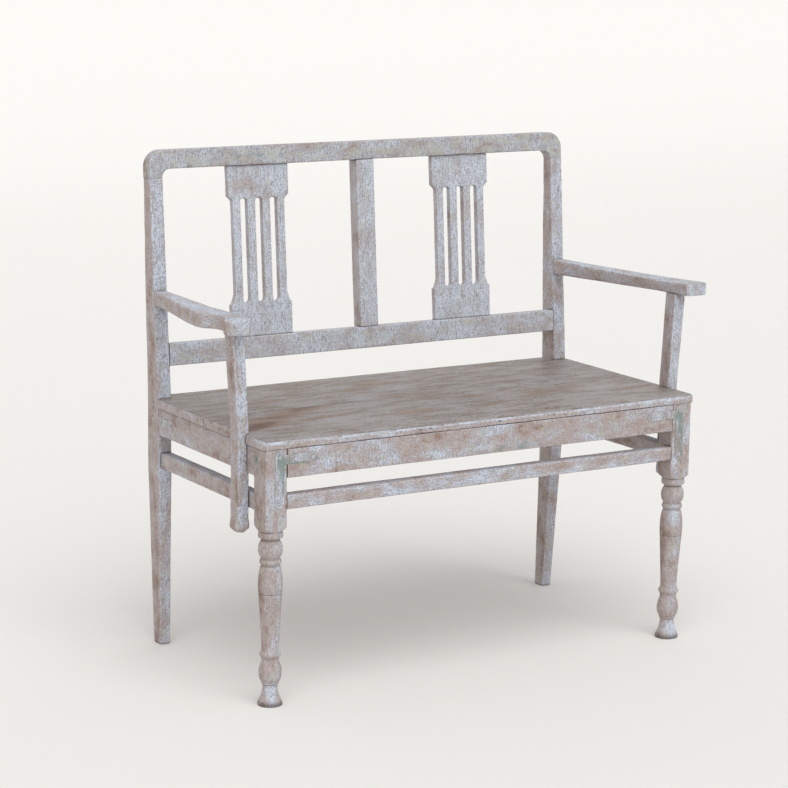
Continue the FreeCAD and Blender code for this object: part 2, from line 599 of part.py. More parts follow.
# A bearer that runs from front to back under the planks.
def make_seat_bearer(hand, side):
    body = new_piece(f"seat_bearer_{hand}")
    wide = ("bearer_place - bearer_half", "bearer_place + bearer_half")
    box(body, wide, ("apron_thick", "apron_rear"), ("bearer_low", "seat_top - seat_thick"), side)
    box(body, BEARER_TENON, ("apron_thick - 8", "apron_rear + 8"), BEARER_UP, side)
    nails = [(f"{side} * bearer_place", place) for place in CROSS_NAILS]
    drill(body, "plan", "seat_top - nail_long", "seat_top - seat_thick", nails, "nail_half + play")


# Cuts an arm's stock to its outline: what lies inside and outside of the arm comes away.
def saw_arm(body, inside, outside, side):
    past = "arm_front - 9"
    for outline, margin in ((inside, "arm_inner_rear - 9"), (outside, "arm_outer_front + 9")):
        outline += [(outline[-1][0], past), (margin, past), (margin, outline[0][1])]
    slab(body, "plan", "arm_low_rear - 9", "left_high_front + 9", [inside, outside], side, cut=True)


# Where an arm's rear end meets the leaning post at a height.
def rear_face(level):
    return f"post_front + ({level} - seat_top) * tan(lean)"


# The right arm: a flat bar that widens evenly toward the front and rises a little at its nose.
def shape_right_arm(body, side):
    profile = [
        ("arm_front", "arm_low_front"), ("arm_flat_end", "arm_low_front"),
        (rear_face("arm_low_rear"), "arm_low_rear"), (rear_face("arm_high_rear"), "arm_high_rear"),
        ("arm_middle", "arm_high_middle", "through"), ("arm_front", "arm_high_front"),
    ]
    slab(body, "side", "arm_inner_rear", "arm_outer_front", [profile], side)
    inside = [("arm_inner_rear", "post_front + 9"), ("arm_inner_front", "arm_front")]
    outside = [
        ("half_width", "post_front + 30"), ("half_width", "post_front + 9"),
        ("(half_width + arm_outer_front) / 2 + arm_bow", "arm_middle", "through"),
        ("arm_outer_front", "arm_front + 20"),
    ]
    saw_arm(body, inside, outside, side)
    box(body, ARM_TENON_ACROSS, ARM_TENON_DEEP, ARM_TENON_UP, side)
    corner = (f"{side} * arm_outer_front", "arm_front", "(arm_low_front + arm_high_front) / 2")
    ease_edges(body, "Chamfer", [corner], "nose_cut")


# The left arm: it bows out to a knee, narrows over the arm post and ends in a wider round nose.
def shape_left_arm(body, side):
    profile = [
        ("arm_front", "arm_low_front"), ("arm_flat_end", "arm_low_front"),
        (rear_face("arm_low_rear"), "arm_low_rear"), (rear_face("left_high_rear"), "left_high_rear"),
        ("left_rise_end", "left_high_front"), ("arm_front", "left_high_front"),
    ]
    slab(body, "side", "arm_inner_rear", "arm_outer_front", [profile], side)
    inside = [("arm_inner_rear", "post_front + 9"), ("left_inner", "left_inner_end")]
    outside = [
        ("half_width", "post_front + 30"), ("half_width", "post_front + 9"),
        ("bow_out", "bow_place", "through"), ("arm_outer_front", "knee_back"),
        ("arm_outer_front", "knee_front"), ("neck_out", "neck_back"), ("neck_out", "neck_front"),
        ("nose_out", "nose_back"),
    ]
    saw_arm(body, inside, outside, side)
    box(body, ARM_TENON_ACROSS, ARM_TENON_DEEP, ARM_TENON_UP, side)
    middle = "(arm_low_front + left_high_front) / 2"
    corners = [(f"{side} * {across}", "arm_front", middle) for across in ("left_inner", "nose_out")]
    ease_edges(body, "Fillet", corners, "nose_round")


def make_arm(hand, side):
    body = new_piece(f"arm_{hand}")
    if hand == "left":
        shape_left_arm(body, side)
    else:
        shape_right_arm(body, side)
    box(body, PROP_TENON_ACROSS, PROP_TENON_DEEP, PROP_TENON_UP, side, cut=True)


# An arm post: let into the seat's edge and the apron, nailed to the stretcher, and carved below
# into an eight-sided drop.
def make_arm_post(hand, side):
    body = new_piece(f"arm_post_{hand}")
    outline = [
        ("prop_inner", "prop_neck"), ("prop_outer", "prop_neck"), ("prop_outer", "seat_top"),
        ("prop_top_outer", "arm_low_front"), ("prop_top_inner", "arm_low_front"),
        ("prop_inner", "seat_top"),
    ]
    slab(body, "front", "prop_front", "prop_back", [outline], side)
    box(body, PROP_TENON_ACROSS, PROP_TENON_DEEP, ("arm_low_front - 9", PROP_TENON_UP[1]), side)
    waist = [("prop_inner + 1", "prop_outer - 1"), ("prop_front + 1", "prop_back - 1")]
    box(body, waist[0], waist[1], ("drop_high - 1", "prop_neck + 1"), side)

    def eight_sides(grow):
        left, right = mirrored(side, f"prop_inner - ({grow})", f"prop_outer + ({grow})")
        near, far, cut = f"prop_front - ({grow})", f"prop_back + ({grow})", "7"
        return [
            (f"{left} + {cut}", near), (f"{right} - {cut}", near), (right, f"{near} + {cut}"),
            (right, f"{far} - {cut}"), (f"{right} - {cut}", far), (f"{left} + {cut}", far),
            (left, f"{far} - {cut}"), (left, f"{near} + {cut}"),
        ]

    loft(body, [("drop_tip", eight_sides("-drop_swell")), ("drop_low", eight_sides("drop_swell")),
                ("drop_high", eight_sides("drop_swell"))])
    drill(body, "side", "prop_inner", "prop_outer", PROP_NAILS, "nail_half + play", side)
    drill(body, "side", "prop_outer - nail_cap", "prop_outer", PROP_NAILS, "nail_head + play", side)


# A plate with its countersunk screw holes, let in flush with the wood.
def make_plate(name, plane, low, high, outline, places, side):
    body = new_piece(name)
    slab(body, plane, low, high, [outline], side)
    drill(body, plane, low, high, places, "screw_half + play", side)
    for across, up in places:
        sink = body.newObject("PartDesign::SubtractiveCone", f"{name}_sink")
        bind(sink, "Height", "plate_thick")
        wide, narrow = "screw_head + play", "screw_half + play"
        if plane == "front":
            sink.Placement = Placement(Vector(), TURN["y"])
            bind(sink, ".Placement.Base.x", f"{side} * ({across})")
            bind(sink, ".Placement.Base.z", up)
        else:
            sink.Placement = Placement(Vector(), TURN["x"])
            wide, narrow = (narrow, wide) if side > 0 else (wide, narrow)
            bind(sink, ".Placement.Base.x", mirrored(side, low, high)[0])
            bind(sink, ".Placement.Base.y", across)
            bind(sink, ".Placement.Base.z", up)
        bind(sink, "Radius1", wide)
        bind(sink, "Radius2", narrow)


# A round fastener with its outer end at a place and its shank along X, Y or Z from there. It has
# a head of its own, tapered or flat, or is a plain peg.
def make_fastener(kind, place, turn, leaning):
    shank = doc.addObject("Part::Cylinder", f"{kind}_shank")
    parts = [shank]
    if kind == "screw":
        bind(shank, "Radius", "screw_half")
        bind(shank, "Height", "screw_long")
        head = doc.addObject("Part::Cone", "screw_head")
        bind(head, "Radius1", "screw_head")
        bind(head, "Radius2", "screw_half")
        bind(head, "Height", "plate_thick")
        parts.append(head)
    elif kind == "nail":
        bind(shank, "Radius", "nail_half")
        bind(shank, "Height", "nail_long")
        head = doc.addObject("Part::Cylinder", "nail_head")
        bind(head, "Radius", "nail_head")
        bind(head, "Height", "nail_cap")
        parts.append(head)
    else:
        bind(shank, "Radius", "peg_half" if leaning else SIDE_PEG)
        bind(shank, "Height", "peg_long + peg_proud")
        bind(shank, ".Placement.Base.z", "-peg_proud")
    item = parts[0]
    if len(parts) > 1:
        item = doc.addObject("Part::Fuse", kind)
        item.Base, item.Tool = parts
    holder = doc.addObject("Part::Compound", f"{kind}_place")
    holder.Links = [item]
    holder.Placement = Placement(Vector(), turn)
    for axis, text in zip("xyz", place):
        bind(holder, f".Placement.Base.{axis}", text)
    return holder


# One node for fasteners of a kind: each stays a solid of its own.
def group_fasteners(name, kind, places, leaning=False):
    group = doc.addObject("Part::Compound", name)
    group.Label = name
    group.Links = [make_fastener(kind, place, turn, leaning) for place, turn in places]
    bind(group, ".Placement.Base.y", f"-{BENCH_DEPTH} / 2")
    pieces.append(group)


def side_places(places, face, side):
    turn = Rotation(Vector(0, 1, 0), -90 * side)
    return [((f"{side} * ({face})", across, up), turn) for across, up in places]


def make_fasteners():
    screws, nails, pegs = [], [], []
    down = Rotation(Vector(1, 0, 0), 180)
    into_back = Rotation(Vector(1, 0, 0), -90 - value("lean"))
    for side in SIDES.values():
        screws += [((f"{side} * ({across})", "0", up), TURN["y"]) for across, up in FRONT_SCREWS]
        screws += side_places(REAR_SCREWS, "half_width", side)
        nails += side_places(PROP_NAILS, "prop_outer", side)
        pegs += side_places(LEG_PEGS + POST_PEGS, "half_width", side)
    group_fasteners("plate_screws", "screw", screws)
    group_fasteners("arm_post_nails", "nail", nails)
    group_fasteners("side_joint_pegs", "peg", pegs)
    seat = [((across, deep, "seat_top"), down)
            for across, deep in FRONT_ROW + REAR_ROW + cross_nails(CROSS_NAILS)]
    group_fasteners("seat_nails", "nail", seat)
    back = []
    for side, places in ((1, CREST_PEGS + RAIL_PEGS + UPRIGHT_PEGS), (-1, CREST_PEGS + RAIL_PEGS)):
        for across, slope in places:
            back.append(((f"{side} * ({across})", f"post_front + ({slope}) * sin(lean)",
                          f"seat_top + ({slope}) * cos(lean)"), into_back))
    group_fasteners("back_joint_pegs", "peg", back, leaning=True)


make_crest_rail()
make_lower_back_rail()
make_back_centre_post()
make_front_apron()
make_back_apron()
make_front_stretcher()
make_front_plank()
make_rear_plank()
for hand, side in SIDES.items():
    make_back_post(hand, side)
    make_splat(hand, side)
    make_front_leg(hand, side)
    make_side_apron(hand, side)
    make_side_stretcher(hand, side)
    make_seat_bearer(hand, side)
    make_arm(hand, side)
    make_arm_post(hand, side)
    make_plate(f"front_joint_plate_{hand}", "front", "0", "plate_thick", front_plate, FRONT_SCREWS, side)
    make_plate(f"rear_joint_plate_{hand}", "side", "half_width - plate_thick", "half_width",
               rear_plate, REAR_SCREWS, side)
make_fasteners()
doc.recompute()

# Every cut has to take wood away and every other feature has to add some.
for item in doc.Objects:
    if {"Invalid", "Error"} & set(item.State):
        raise RuntimeError(f"{item.Name} did not build")
    if item.TypeId.startswith("PartDesign::") and getattr(item, "BaseFeature", None):
        change = item.Shape.Volume - item.BaseFeature.Shape.Volume
        cuts = any(word in item.TypeId for word in ("Pocket", "Groove", "Subtractive", "Fillet", "Chamfer"))
        if abs(change) < 0.5 or (change > 0) == cuts:
            raise RuntimeError(f"{item.Name} changes {change:.2f} cubic millimetres")

os.makedirs("parts", exist_ok=True)
for piece in pieces:
    if piece.Shape.isNull() or not piece.Shape.isValid():
        raise RuntimeError(f"{piece.Label} has no valid shape")
    solids = piece.Shape.Solids
    if piece.TypeId == "PartDesign::Body" and len(solids) != 1:
        raise RuntimeError(f"{piece.Label} is not one solid")
    piece.Shape.exportStep(f"parts/{piece.Label}.step")
    print(f"{piece.Label}: {len(solids)} solid(s), {piece.Shape.Volume / 1000:.1f} cubic centimetres")
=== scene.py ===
import math
import bmesh
import bpy
from mathutils import Matrix, Vector, noise


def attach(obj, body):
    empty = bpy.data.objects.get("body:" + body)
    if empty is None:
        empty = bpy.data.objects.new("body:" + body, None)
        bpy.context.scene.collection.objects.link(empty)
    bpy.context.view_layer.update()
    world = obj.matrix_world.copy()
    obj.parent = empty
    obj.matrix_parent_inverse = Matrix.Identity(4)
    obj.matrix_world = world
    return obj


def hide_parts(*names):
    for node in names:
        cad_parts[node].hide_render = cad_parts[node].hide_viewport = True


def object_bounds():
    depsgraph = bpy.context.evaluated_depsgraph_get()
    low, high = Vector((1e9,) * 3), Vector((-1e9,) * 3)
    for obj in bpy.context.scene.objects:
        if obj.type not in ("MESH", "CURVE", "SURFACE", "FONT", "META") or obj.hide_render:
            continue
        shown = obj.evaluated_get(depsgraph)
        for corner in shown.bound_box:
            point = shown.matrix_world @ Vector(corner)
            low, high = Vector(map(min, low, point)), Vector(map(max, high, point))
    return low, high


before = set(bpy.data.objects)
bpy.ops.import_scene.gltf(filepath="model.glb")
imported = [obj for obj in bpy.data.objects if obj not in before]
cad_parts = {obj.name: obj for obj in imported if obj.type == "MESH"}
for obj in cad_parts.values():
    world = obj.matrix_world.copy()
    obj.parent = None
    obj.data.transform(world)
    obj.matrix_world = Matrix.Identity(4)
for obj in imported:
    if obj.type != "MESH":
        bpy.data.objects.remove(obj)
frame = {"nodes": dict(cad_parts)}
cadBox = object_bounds()

# Lengths are in millimetres: x along the seat from its middle, y back from the front of the legs,
# z up from the floor. The back leans, and its pieces use v into its thickness and w up its slope.
back = {"lean": 4.55, "frontY": 403, "seatZ": 460}
frontPlane = cadBox[0][1] * 1000


def toScene(point):
    return Vector((point[0], point[1] + frontPlane, point[2])) / 1000


def backPoint(x, v, w):
    lean = math.radians(back["lean"])
    y = back["frontY"] + v * math.cos(lean) + w * math.sin(lean)
    z = back["seatZ"] - v * math.sin(lean) + w * math.cos(lean)
    return Vector((x, y, z))


def linearColour(hexCode):
    values = [int(hexCode[i:i + 2], 16) / 255 for i in (1, 3, 5)]
    return [v / 12.92 if v <= 0.04045 else ((v + 0.055) / 1.055) ** 2.4 for v in values] + [1]


def addNode(tree, kind, inputs=None, out=0, **settings):
    node = tree.nodes.new("ShaderNode" + kind)
    for name, value in settings.items():
        setattr(node, name, value)
    for name, value in (inputs or {}).items():
        if isinstance(value, bpy.types.NodeSocket):
            tree.links.new(value, node.inputs[name])
        else:
            node.inputs[name].default_value = value
    return None if out is None else node.outputs[out]


# A smooth value between -1 and 1 that wanders along a piece. Each piece has its own seed.
def wander(seed, along, wavelength):
    return noise.noise(Vector((along / wavelength, seed * 7.31, seed * 3.17)))


print("materials")

# Pattern sizes are in millimetres, along and across the way that they run: brush strokes and mottling
# of a few millimetres, and clouds as wide as a rubbing hand. Bristle marks and open pores are under half
# a millimetre, too fine to show, so both are drawn about 2 mm across. Each layer covers what is under it
# where its pattern passes from the first value to the second, as much as the third allows.
frameFinish = {
    "paintDark": "#918c8b", "paintLight": "#ccd5e5", "thin": "#ab968d", "wood": "#7f6353", "cream": "#b9b9a9",
    "bright": "#d2d9e6", "speck": "#6b605a", "patina": "#71877f", "dirtAndShade": "#473d36",
    "streak": (17, 2.1), "mottle": (3.0, 2.3), "cloud": (46, 24), "tone": (22, 13), "pore": (4.6, 1.9),
    "brush": (5.5, 2.2), "mixed": {"mottle": 0.6, "streak": 0.4, "cloud": -0.1, "freshAndHighlight": 0.04},
    "base": (0.36, 0.52, 1.0), "thinCover": (0.48, 0.62, 0.75), "woodCover": (0.60, 0.68, 0.7),
    "creamCover": (-0.44, -0.35, 0.45), "brightCover": (0.53, 0.64, 0.6), "speckCover": (0.58, 0.67, 0.45),
    "patinaCover": (0.60, 0.72, 0.75), "dirtAndShadeCover": (-0.33, -0.10, 0.7), "roughness": 0.62,
}
seatFinish = {
    "paintDark": "#716255", "paintLight": "#9b9696", "thin": "#8a6f5e", "wood": "#5e4536", "cream": "#98978d",
    "bright": "#b0adb1", "speck": "#54483f", "patina": "#7f8f8c", "dirtAndShade": "#473d36",
    "streak": (26, 2.0), "mottle": (6, 2.2), "cloud": (70, 17), "tone": (50, 12), "pore": (6, 1.4),
    "brush": (11, 2.0), "mixed": {"mottle": 0.5, "streak": 0.4, "cloud": -0.5, "freshAndHighlight": 0.1},
    "base": (0.08, 0.29, 1.0), "thinCover": (0.52, 0.64, 0.7), "woodCover": (0.62, 0.74, 0.8),
    "creamCover": (-0.44, -0.35, 0.35), "brightCover": (0.53, 0.64, 0.5), "speckCover": (0.56, 0.66, 0.55),
    "patinaCover": (0.64, 0.74, 0.5), "dirtAndShadeCover": (-0.33, -0.10, 0.7), "roughness": 0.46,
}


# Hardwood under a thin lime whitewash, brushed on and rubbed back once dry: a mottled pale lavender
# skin that thins to pinkish tan, with bare brown spots, brighter brush streaks, dark specks in the
# pores, dirt and painted shade in the joints and hollows, and traces of older cream and grey-green paint.
def brushedWhitewash(name, finish):
    material = bpy.data.materials.new(name)
    material.use_nodes = True
    tree = material.node_tree
    tree.nodes.clear()
    marks = {}
    for mark in ("edgeWear", "barenessAndShade", "patina", "grimeAndShade", "freshAndHighlight"):
        marks[mark] = addNode(tree, "Attribute", attribute_name=mark, out=2)
    grain = addNode(tree, "Attribute", attribute_name="grainPlace", out=1)
    rub = addNode(tree, "Attribute", attribute_name="rubPlace", out=1)
    patterns = {}
    places = {"streak": rub, "mottle": rub, "cloud": grain, "tone": grain, "pore": grain, "brush": rub}
    # Each pattern is moved aside by its number, so that no two line up.
    for number, (pattern, place) in enumerate(places.items()):
        along, across = (1000 / size for size in finish[pattern])
        turned = addNode(tree, "Mapping", {"Vector": place, "Location": (number * 3.7, number * 1.9, 0),
                                           "Scale": (along, across, across)})
        patterns[pattern] = addNode(tree, "TexNoise", {"Vector": turned, "Scale": 1, "Detail": 4,
                                                       "Roughness": 0.62})
    # Each layer's amount is a sum of patterns and marks, by weight.
    rubbed = {"cloud": 0.5, "streak": 0.28, "mottle": 0.22}
    recipes = {
        "paintLight": ("base", finish["mixed"]),
        "thin": ("thinCover", {**rubbed, "barenessAndShade": 0.1, "freshAndHighlight": -0.15}),
        "wood": ("woodCover", {**rubbed, "barenessAndShade": 0.07, "freshAndHighlight": -0.15}),
        "cream": ("creamCover", {"tone": -1.0, "freshAndHighlight": -0.1}),
        "bright": ("brightCover", {"brush": 0.8, "mottle": 0.2, "freshAndHighlight": 0.1, "edgeWear": 0.05,
                                   "barenessAndShade": -0.02}),
        "speck": ("speckCover", {"pore": 1.0, "barenessAndShade": 0.02, "freshAndHighlight": -0.05}),
        "patina": ("patinaCover", {"mottle": 0.5, "tone": 0.5, "patina": 0.3}),
        # The dirt layer gathers real dirt, and also paints shade into hollows and tight corners.
        "dirtAndShade": ("dirtAndShadeCover", {"mottle": 1.0, "grimeAndShade": 0.35, "openness": -1.0}),
    }
    # How open the surface is to its surroundings within 4 mm: where it is not, the dirt layer darkens it,
    # which paints shade there as well as dirt.
    openness = addNode(tree, "AmbientOcclusion", {"Distance": 0.004}, out=1, samples=8)
    sources = {**patterns, **marks, "openness": openness}
    colour = linearColour(finish["paintDark"])
    covers = {}
    for layer, (cover, recipe) in recipes.items():
        amount = 0.0
        for source, weight in recipe.items():
            amount = addNode(tree, "Math", {0: sources[source], 1: weight, 2: amount},
                             operation="MULTIPLY_ADD")
        low, high, most = finish[cover]
        covers[layer] = addNode(tree, "MapRange", {0: amount, 1: low, 2: high, 4: most},
                                interpolation_type="SMOOTHSTEP")
        colour = addNode(tree, "Mix", {0: covers[layer], 6: colour, 7: linearColour(finish[layer])},
                         out=2, data_type="RGBA")
    # Paint stands on the wood, so bare spots, pores and joints lie lower than the skin round them.
    height = 0.0
    for layer, weight in (("wood", -0.5), ("bright", 0.35), ("paintLight", 0.35), ("speck", -0.4),
                          ("dirtAndShade", -0.6)):
        height = addNode(tree, "Math", {0: covers[layer], 1: weight, 2: height}, operation="MULTIPLY_ADD")
    bump = addNode(tree, "Bump", {"Height": height, "Strength": 0.3, "Distance": 0.0005})
    rough = addNode(tree, "MapRange", {0: covers["wood"], 3: finish["roughness"],
                                       4: finish["roughness"] + 0.1})
    shader = addNode(tree, "BsdfPrincipled", {"Base Color": colour, "Roughness": rough, "Normal": bump,
                                              "Specular IOR Level": 0.4})
    addNode(tree, "OutputMaterial", {"Surface": shader}, out=None)
    return material


# The back has been rubbed less than the frame below it, so its skin is softer and more even.
backFinish = {**frameFinish, "paintDark": "#928d8d", "paintLight": "#cdd5e2", "base": (0.33, 0.53, 1.0),
              "thinCover": (0.48, 0.63, 0.6), "speckCover": (0.58, 0.67, 0.35)}
# Iron plates under the same paint are greyer where it thins and a little smoother.
ironFinish = {**frameFinish, "thin": "#a19690", "wood": "#6f5f55", "roughness": 0.55}

frameWood = brushedWhitewash("brushedWhitewashFrame", frameFinish)
backWood = brushedWhitewash("brushedWhitewashBack", backFinish)
seatWood = brushedWhitewash("brushedWhitewashSeat", seatFinish)
plateIron = brushedWhitewash("brushedWhitewashIron", ironFinish)

print("shapes")

axisOrder = {"x": (0, 1, 2), "y": (1, 0, 2), "z": (2, 0, 1)}
wearLengths = {"sway": 120, "edge": 55, "chip": 17}


# The sum of soft patches at a point. A patch is its centre, its reach along x, y and z, and a strength.
def patchesAt(patches, point):
    total = 0
    for centre, reach, strength in patches:
        if abs(point[0] - centre[0]) < 2 * reach[0] and abs(point[2] - centre[2]) < 2 * reach[2]:
            total += strength * math.exp(-sum(((a - b) / c) ** 2 for a, b, c in zip(point, centre, reach)))
    return total


# Makes one piece from its points and faces, with the values that its material reads at each point.
# A point counts as a hollow where the surface round it rises by more than a worn flat face does.
def makePiece(node, points, faces, edges, settings, seed):
    flatRise = 0.04
    mesh = bpy.data.meshes.new("worn_" + node)
    mesh.from_pydata([toScene(point) for point in points], [], faces)
    work = bmesh.new()
    work.from_mesh(mesh)
    bmesh.ops.recalc_face_normals(work, faces=work.faces)
    work.normal_update()
    hollows = []
    for vertex in work.verts:
        rises = [vertex.normal.dot((edge.other_vert(vertex).co - vertex.co).normalized())
                 for edge in vertex.link_edges]
        hollows.append(max(0, sum(rises) / len(rises) - flatRise))
    work.to_mesh(mesh)
    work.free()
    shift = Vector((seed * 0.37, seed * 0.91, seed * 0.53))
    for name, axis in (("grainPlace", settings["grain"]), ("rubPlace", settings["rub"])):
        layer = mesh.attributes.new(name, "FLOAT_VECTOR", "POINT")
        first, second, third = axisOrder[axis]
        for i, vertex in enumerate(mesh.vertices):
            place = vertex.co
            layer.data[i].vector = Vector((place[first], place[second], place[third])) + shift
    marks = {"edgeWear": edges, "barenessAndShade": [], "patina": [], "grimeAndShade": [], "freshAndHighlight": []}
    for vertex, point, hollow in zip(mesh.vertices, points, hollows):
        facing = vertex.normal
        # Faces turned to either side are barer and pinker, which also paints a warm shade onto them.
        bareAndShaded = settings.get("barenessAndShade", 0) + settings["sideBareAndShade"] * facing.x ** 2
        bareAndShaded += settings["underBare"] * max(0, -facing.z) + settings["rearBare"] * max(0, facing.y)
        # Hollows are darkened as well, which paints shade into grooves along with any dirt.
        grimeAndShade = settings.get("grimeAndShade", 0) + settings["hollowDirtAndShade"] * hollow
        for name, base in (("barenessAndShade", bareAndShaded), ("patina", settings.get("patina", 0)), ("grimeAndShade", grimeAndShade),
                           ("freshAndHighlight", settings.get("freshAndHighlight", 0))):
            marks[name].append(base + patchesAt(settings.get(name + "Patches", []), point))
    for name, values in marks.items():
        layer = mesh.attributes.new(name, "FLOAT", "POINT")
        layer.data.foreach_set("value", [float(value) for value in values])
    mesh.shade_smooth()
    mesh.set_sharp_from_angle(angle=math.radians(35))
    mesh.materials.append(settings["material"])
    if settings.get("edgeMaterial"):
        mesh.materials.append(settings["edgeMaterial"])
        for face in mesh.polygons:
            face.material_index = 0 if face.normal.z > 0.8 else 1
    piece = bpy.data.objects.new("worn_" + node, mesh)
    bpy.context.scene.collection.objects.link(piece)
    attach(piece, "root")
    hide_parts(node)
    return piece


# A worn copy of a small metal or wooden part, with its sharp edges rounded over.
def wornCopy(node, settings, seed):
    source = frame["nodes"][node]
    work = bmesh.new()
    work.from_mesh(source.data)
    work.transform(source.matrix_world)
    bmesh.ops.remove_doubles(work, verts=work.verts, dist=0.00001)
    bmesh.ops.dissolve_limit(work, angle_limit=math.radians(2), verts=work.verts, edges=work.edges)
    sharp = [edge for edge in work.edges if edge.is_manifold and edge.calc_face_angle() > math.radians(40)]
    bmesh.ops.bevel(work, geom=sharp, offset=settings["round"] / 1000, segments=2, profile=0.5,
                    affect="EDGES")
    work.verts.index_update()
    points = [vertex.co * 1000 - Vector((0, frontPlane, 0)) for vertex in work.verts]
    if settings.get("shape"):
        points = [settings["shape"](point) for point in points]
    faces = [[vertex.index for vertex in face.verts] for face in work.faces]
    work.free()
    return makePiece(node, points, faces, [0.3] * len(points), settings, seed)


# The ring of points round a four-cornered section. A roundness of 1 rounds its corners and 0 cuts them,
# and 0.83 of the curve is a quarter circle.
def sectionRing(corners, radii, steps, roundness):
    points, edges = [], []
    for k in range(4):
        here, ahead, behind = corners[k], corners[(k + 1) % 4], corners[k - 1]
        start = here + (behind - here).normalized() * radii[k]
        end = here + (ahead - here).normalized() * radii[k]
        for i in range(5):
            t = i / 4
            curve = start * (1 - t) ** 2 + here * 2 * t * (1 - t) + end * t * t
            points.append(start.lerp(end, t).lerp(curve, roundness * 0.83))
            edges.append(1)
        nextStart = ahead + (here - ahead).normalized() * radii[(k + 1) % 4]
        length = (nextStart - end).length
        near = min(4, length * 0.3) / max(length, 0.01)
        inner = [near + (1 - 2 * near) * i / (steps[k % 2] + 1) for i in range(1, steps[k % 2] + 1)]
        for t in [near] + inner + [1 - near]:
            points.append(end.lerp(nextStart, t))
            edges.append(0.25 if t in (near, 1 - near) else 0)
    return points, edges


# The section at a distance along a piece, between the two stations beside it.
def sectionAt(stations, distance):
    for (low, first), (high, second) in zip(stations, stations[1:]):
        if distance <= high or (high, second) == stations[-1]:
            t = min(1, max(0, (distance - low) / (high - low)))
            return [a.lerp(b, t) for a, b in zip(first, second)]


# A bar of wood that follows its stations, with edges worn unevenly along its length.
def makeBar(node, stations, settings, seed):
    total = stations[-1][0]
    step = settings.get("step", 9)
    startRound, endRound = settings.get("ends", (0.8, 0.8))
    places = [0, startRound * 0.3, startRound]
    count = max(2, round((total - startRound - endRound) / step))
    marks = [startRound + (total - startRound - endRound) * i / count for i in range(1, count)]
    for knot, _ in stations[1:-1]:
        if startRound < knot < total - endRound:
            marks = [mark for mark in marks if abs(mark - knot) > step * 0.35] + [knot]
    places += sorted(marks) + [total - endRound, total - endRound * 0.3, total]
    rings, ringEdges = [], []
    for distance in places:
        corners = sectionAt(stations, distance)
        middle = sum(corners, Vector()) / 4
        inset = 0
        for gap, size in ((distance, startRound), (total - distance, endRound)):
            if gap < size:
                inset = max(inset, size - math.sqrt(max(0, size * size - (size - gap) ** 2)))
        inset = min(inset, 0.7 * settings["radius"] + 1.2)
        radii = []
        for k in range(4):
            worn = wander(seed + k * 11, distance, wearLengths["edge"])
            worn += 0.6 * wander(seed + k * 17, distance, wearLengths["chip"])
            size = settings["radius"] * (1 + 0.35 * worn) + 1.8 * max(0, worn - 0.35)
            if settings.get("cornersAt"):
                size = settings["cornersAt"](k, distance) or size
            radii.append(max(0.5, size))
            sway = settings.get("sway", 0.35) * (1 + wander(seed + k * 5, distance, wearLengths["sway"]))
            toMiddle = (middle - corners[k]).normalized()
            corners[k] = corners[k] + toMiddle * (sway + inset * 1.4)
        steps = settings.get("across", (1, 1))
        roundness = settings["roundnessAt"](distance) if settings.get("roundnessAt") else 1
        points, edges = sectionRing(corners, radii, steps, roundness)
        rings.append(points)
        ringEdges.append(edges)
    for end in (0, -1):
        middle = sum(rings[end], Vector()) / len(rings[end])
        cap = [point.lerp(middle, 0.3) for point in rings[end]]
        values = [0.1] * len(cap)
        if end == 0:
            rings.insert(0, cap)
            ringEdges.insert(0, values)
        else:
            rings.append(cap)
            ringEdges.append(values)
    points = [point for ring in rings for point in ring]
    edges = [value for ring in ringEdges for value in ring]
    if settings.get("shape"):
        points = [settings["shape"](point) for point in points]
    size = len(rings[0])
    faces = []
    for i in range(len(rings) - 1):
        for j in range(size):
            k = (j + 1) % size
            faces.append((i * size + j, i * size + k, (i + 1) * size + k, (i + 1) * size + j))
    faces.append(tuple(range(size)))
    faces.append(tuple(range(len(points) - size, len(points))))
    return makePiece(node, points, faces, edges, settings, seed)


# The four corners of an upright section: outer front, inner front, inner back, outer back.
def flatSection(side, x, y, z):
    return [Vector((side * x[1], y[0], z)), Vector((side * x[0], y[0], z)),
            Vector((side * x[0], y[1], z)), Vector((side * x[1], y[1], z))]


# A straight bar between two levels along one axis.
def straightStations(axis, low, high, first, second):
    def at(level):
        corners = []
        for a, b in ((1, 0), (0, 0), (0, 1), (1, 1)):
            values = [first[a], second[b]]
            values.insert("xyz".index(axis), level)
            corners.append(Vector(values))
        return corners
    return [(0, at(low)), (high - low, at(high))]


# A straight bar of the leaning back, between two levels of x or w.
def backStations(axis, low, high, across, v):
    def at(level):
        corners = []
        for a, b in ((1, 0), (0, 0), (0, 1), (1, 1)):
            if axis == "x":
                corners.append(backPoint(level, v[b], across[a]))
            else:
                corners.append(backPoint(across[a], v[b], level))
        return corners
    return [(0, at(low)), (high - low, at(high))]


# Bareness, patina, grime and fresh change how the finish lies on a piece, all over it or in patches,
# and some patches paint shade, sheen or highlights. Ends and sides are barer and take a painted warm
# shade, undersides and backs are barer, and hollows hold more dirt and painted shade.
woodBase = {"material": frameWood, "slot": "whitewashed_wood", "radius": 1.8, "grain": "x", "rub": "z",
            "sideBareAndShade": 1.1, "underBare": 0.8, "rearBare": 0.35, "hollowDirtAndShade": 2}
sides = {"left": -1, "right": 1}


# A patch on the leaning back, by its x and its height w up the slope.
def backPatch(x, w, reachX, reachW, strength):
    return backPoint(x, 0, w), (reachX, 60, reachW), strength


print("back")

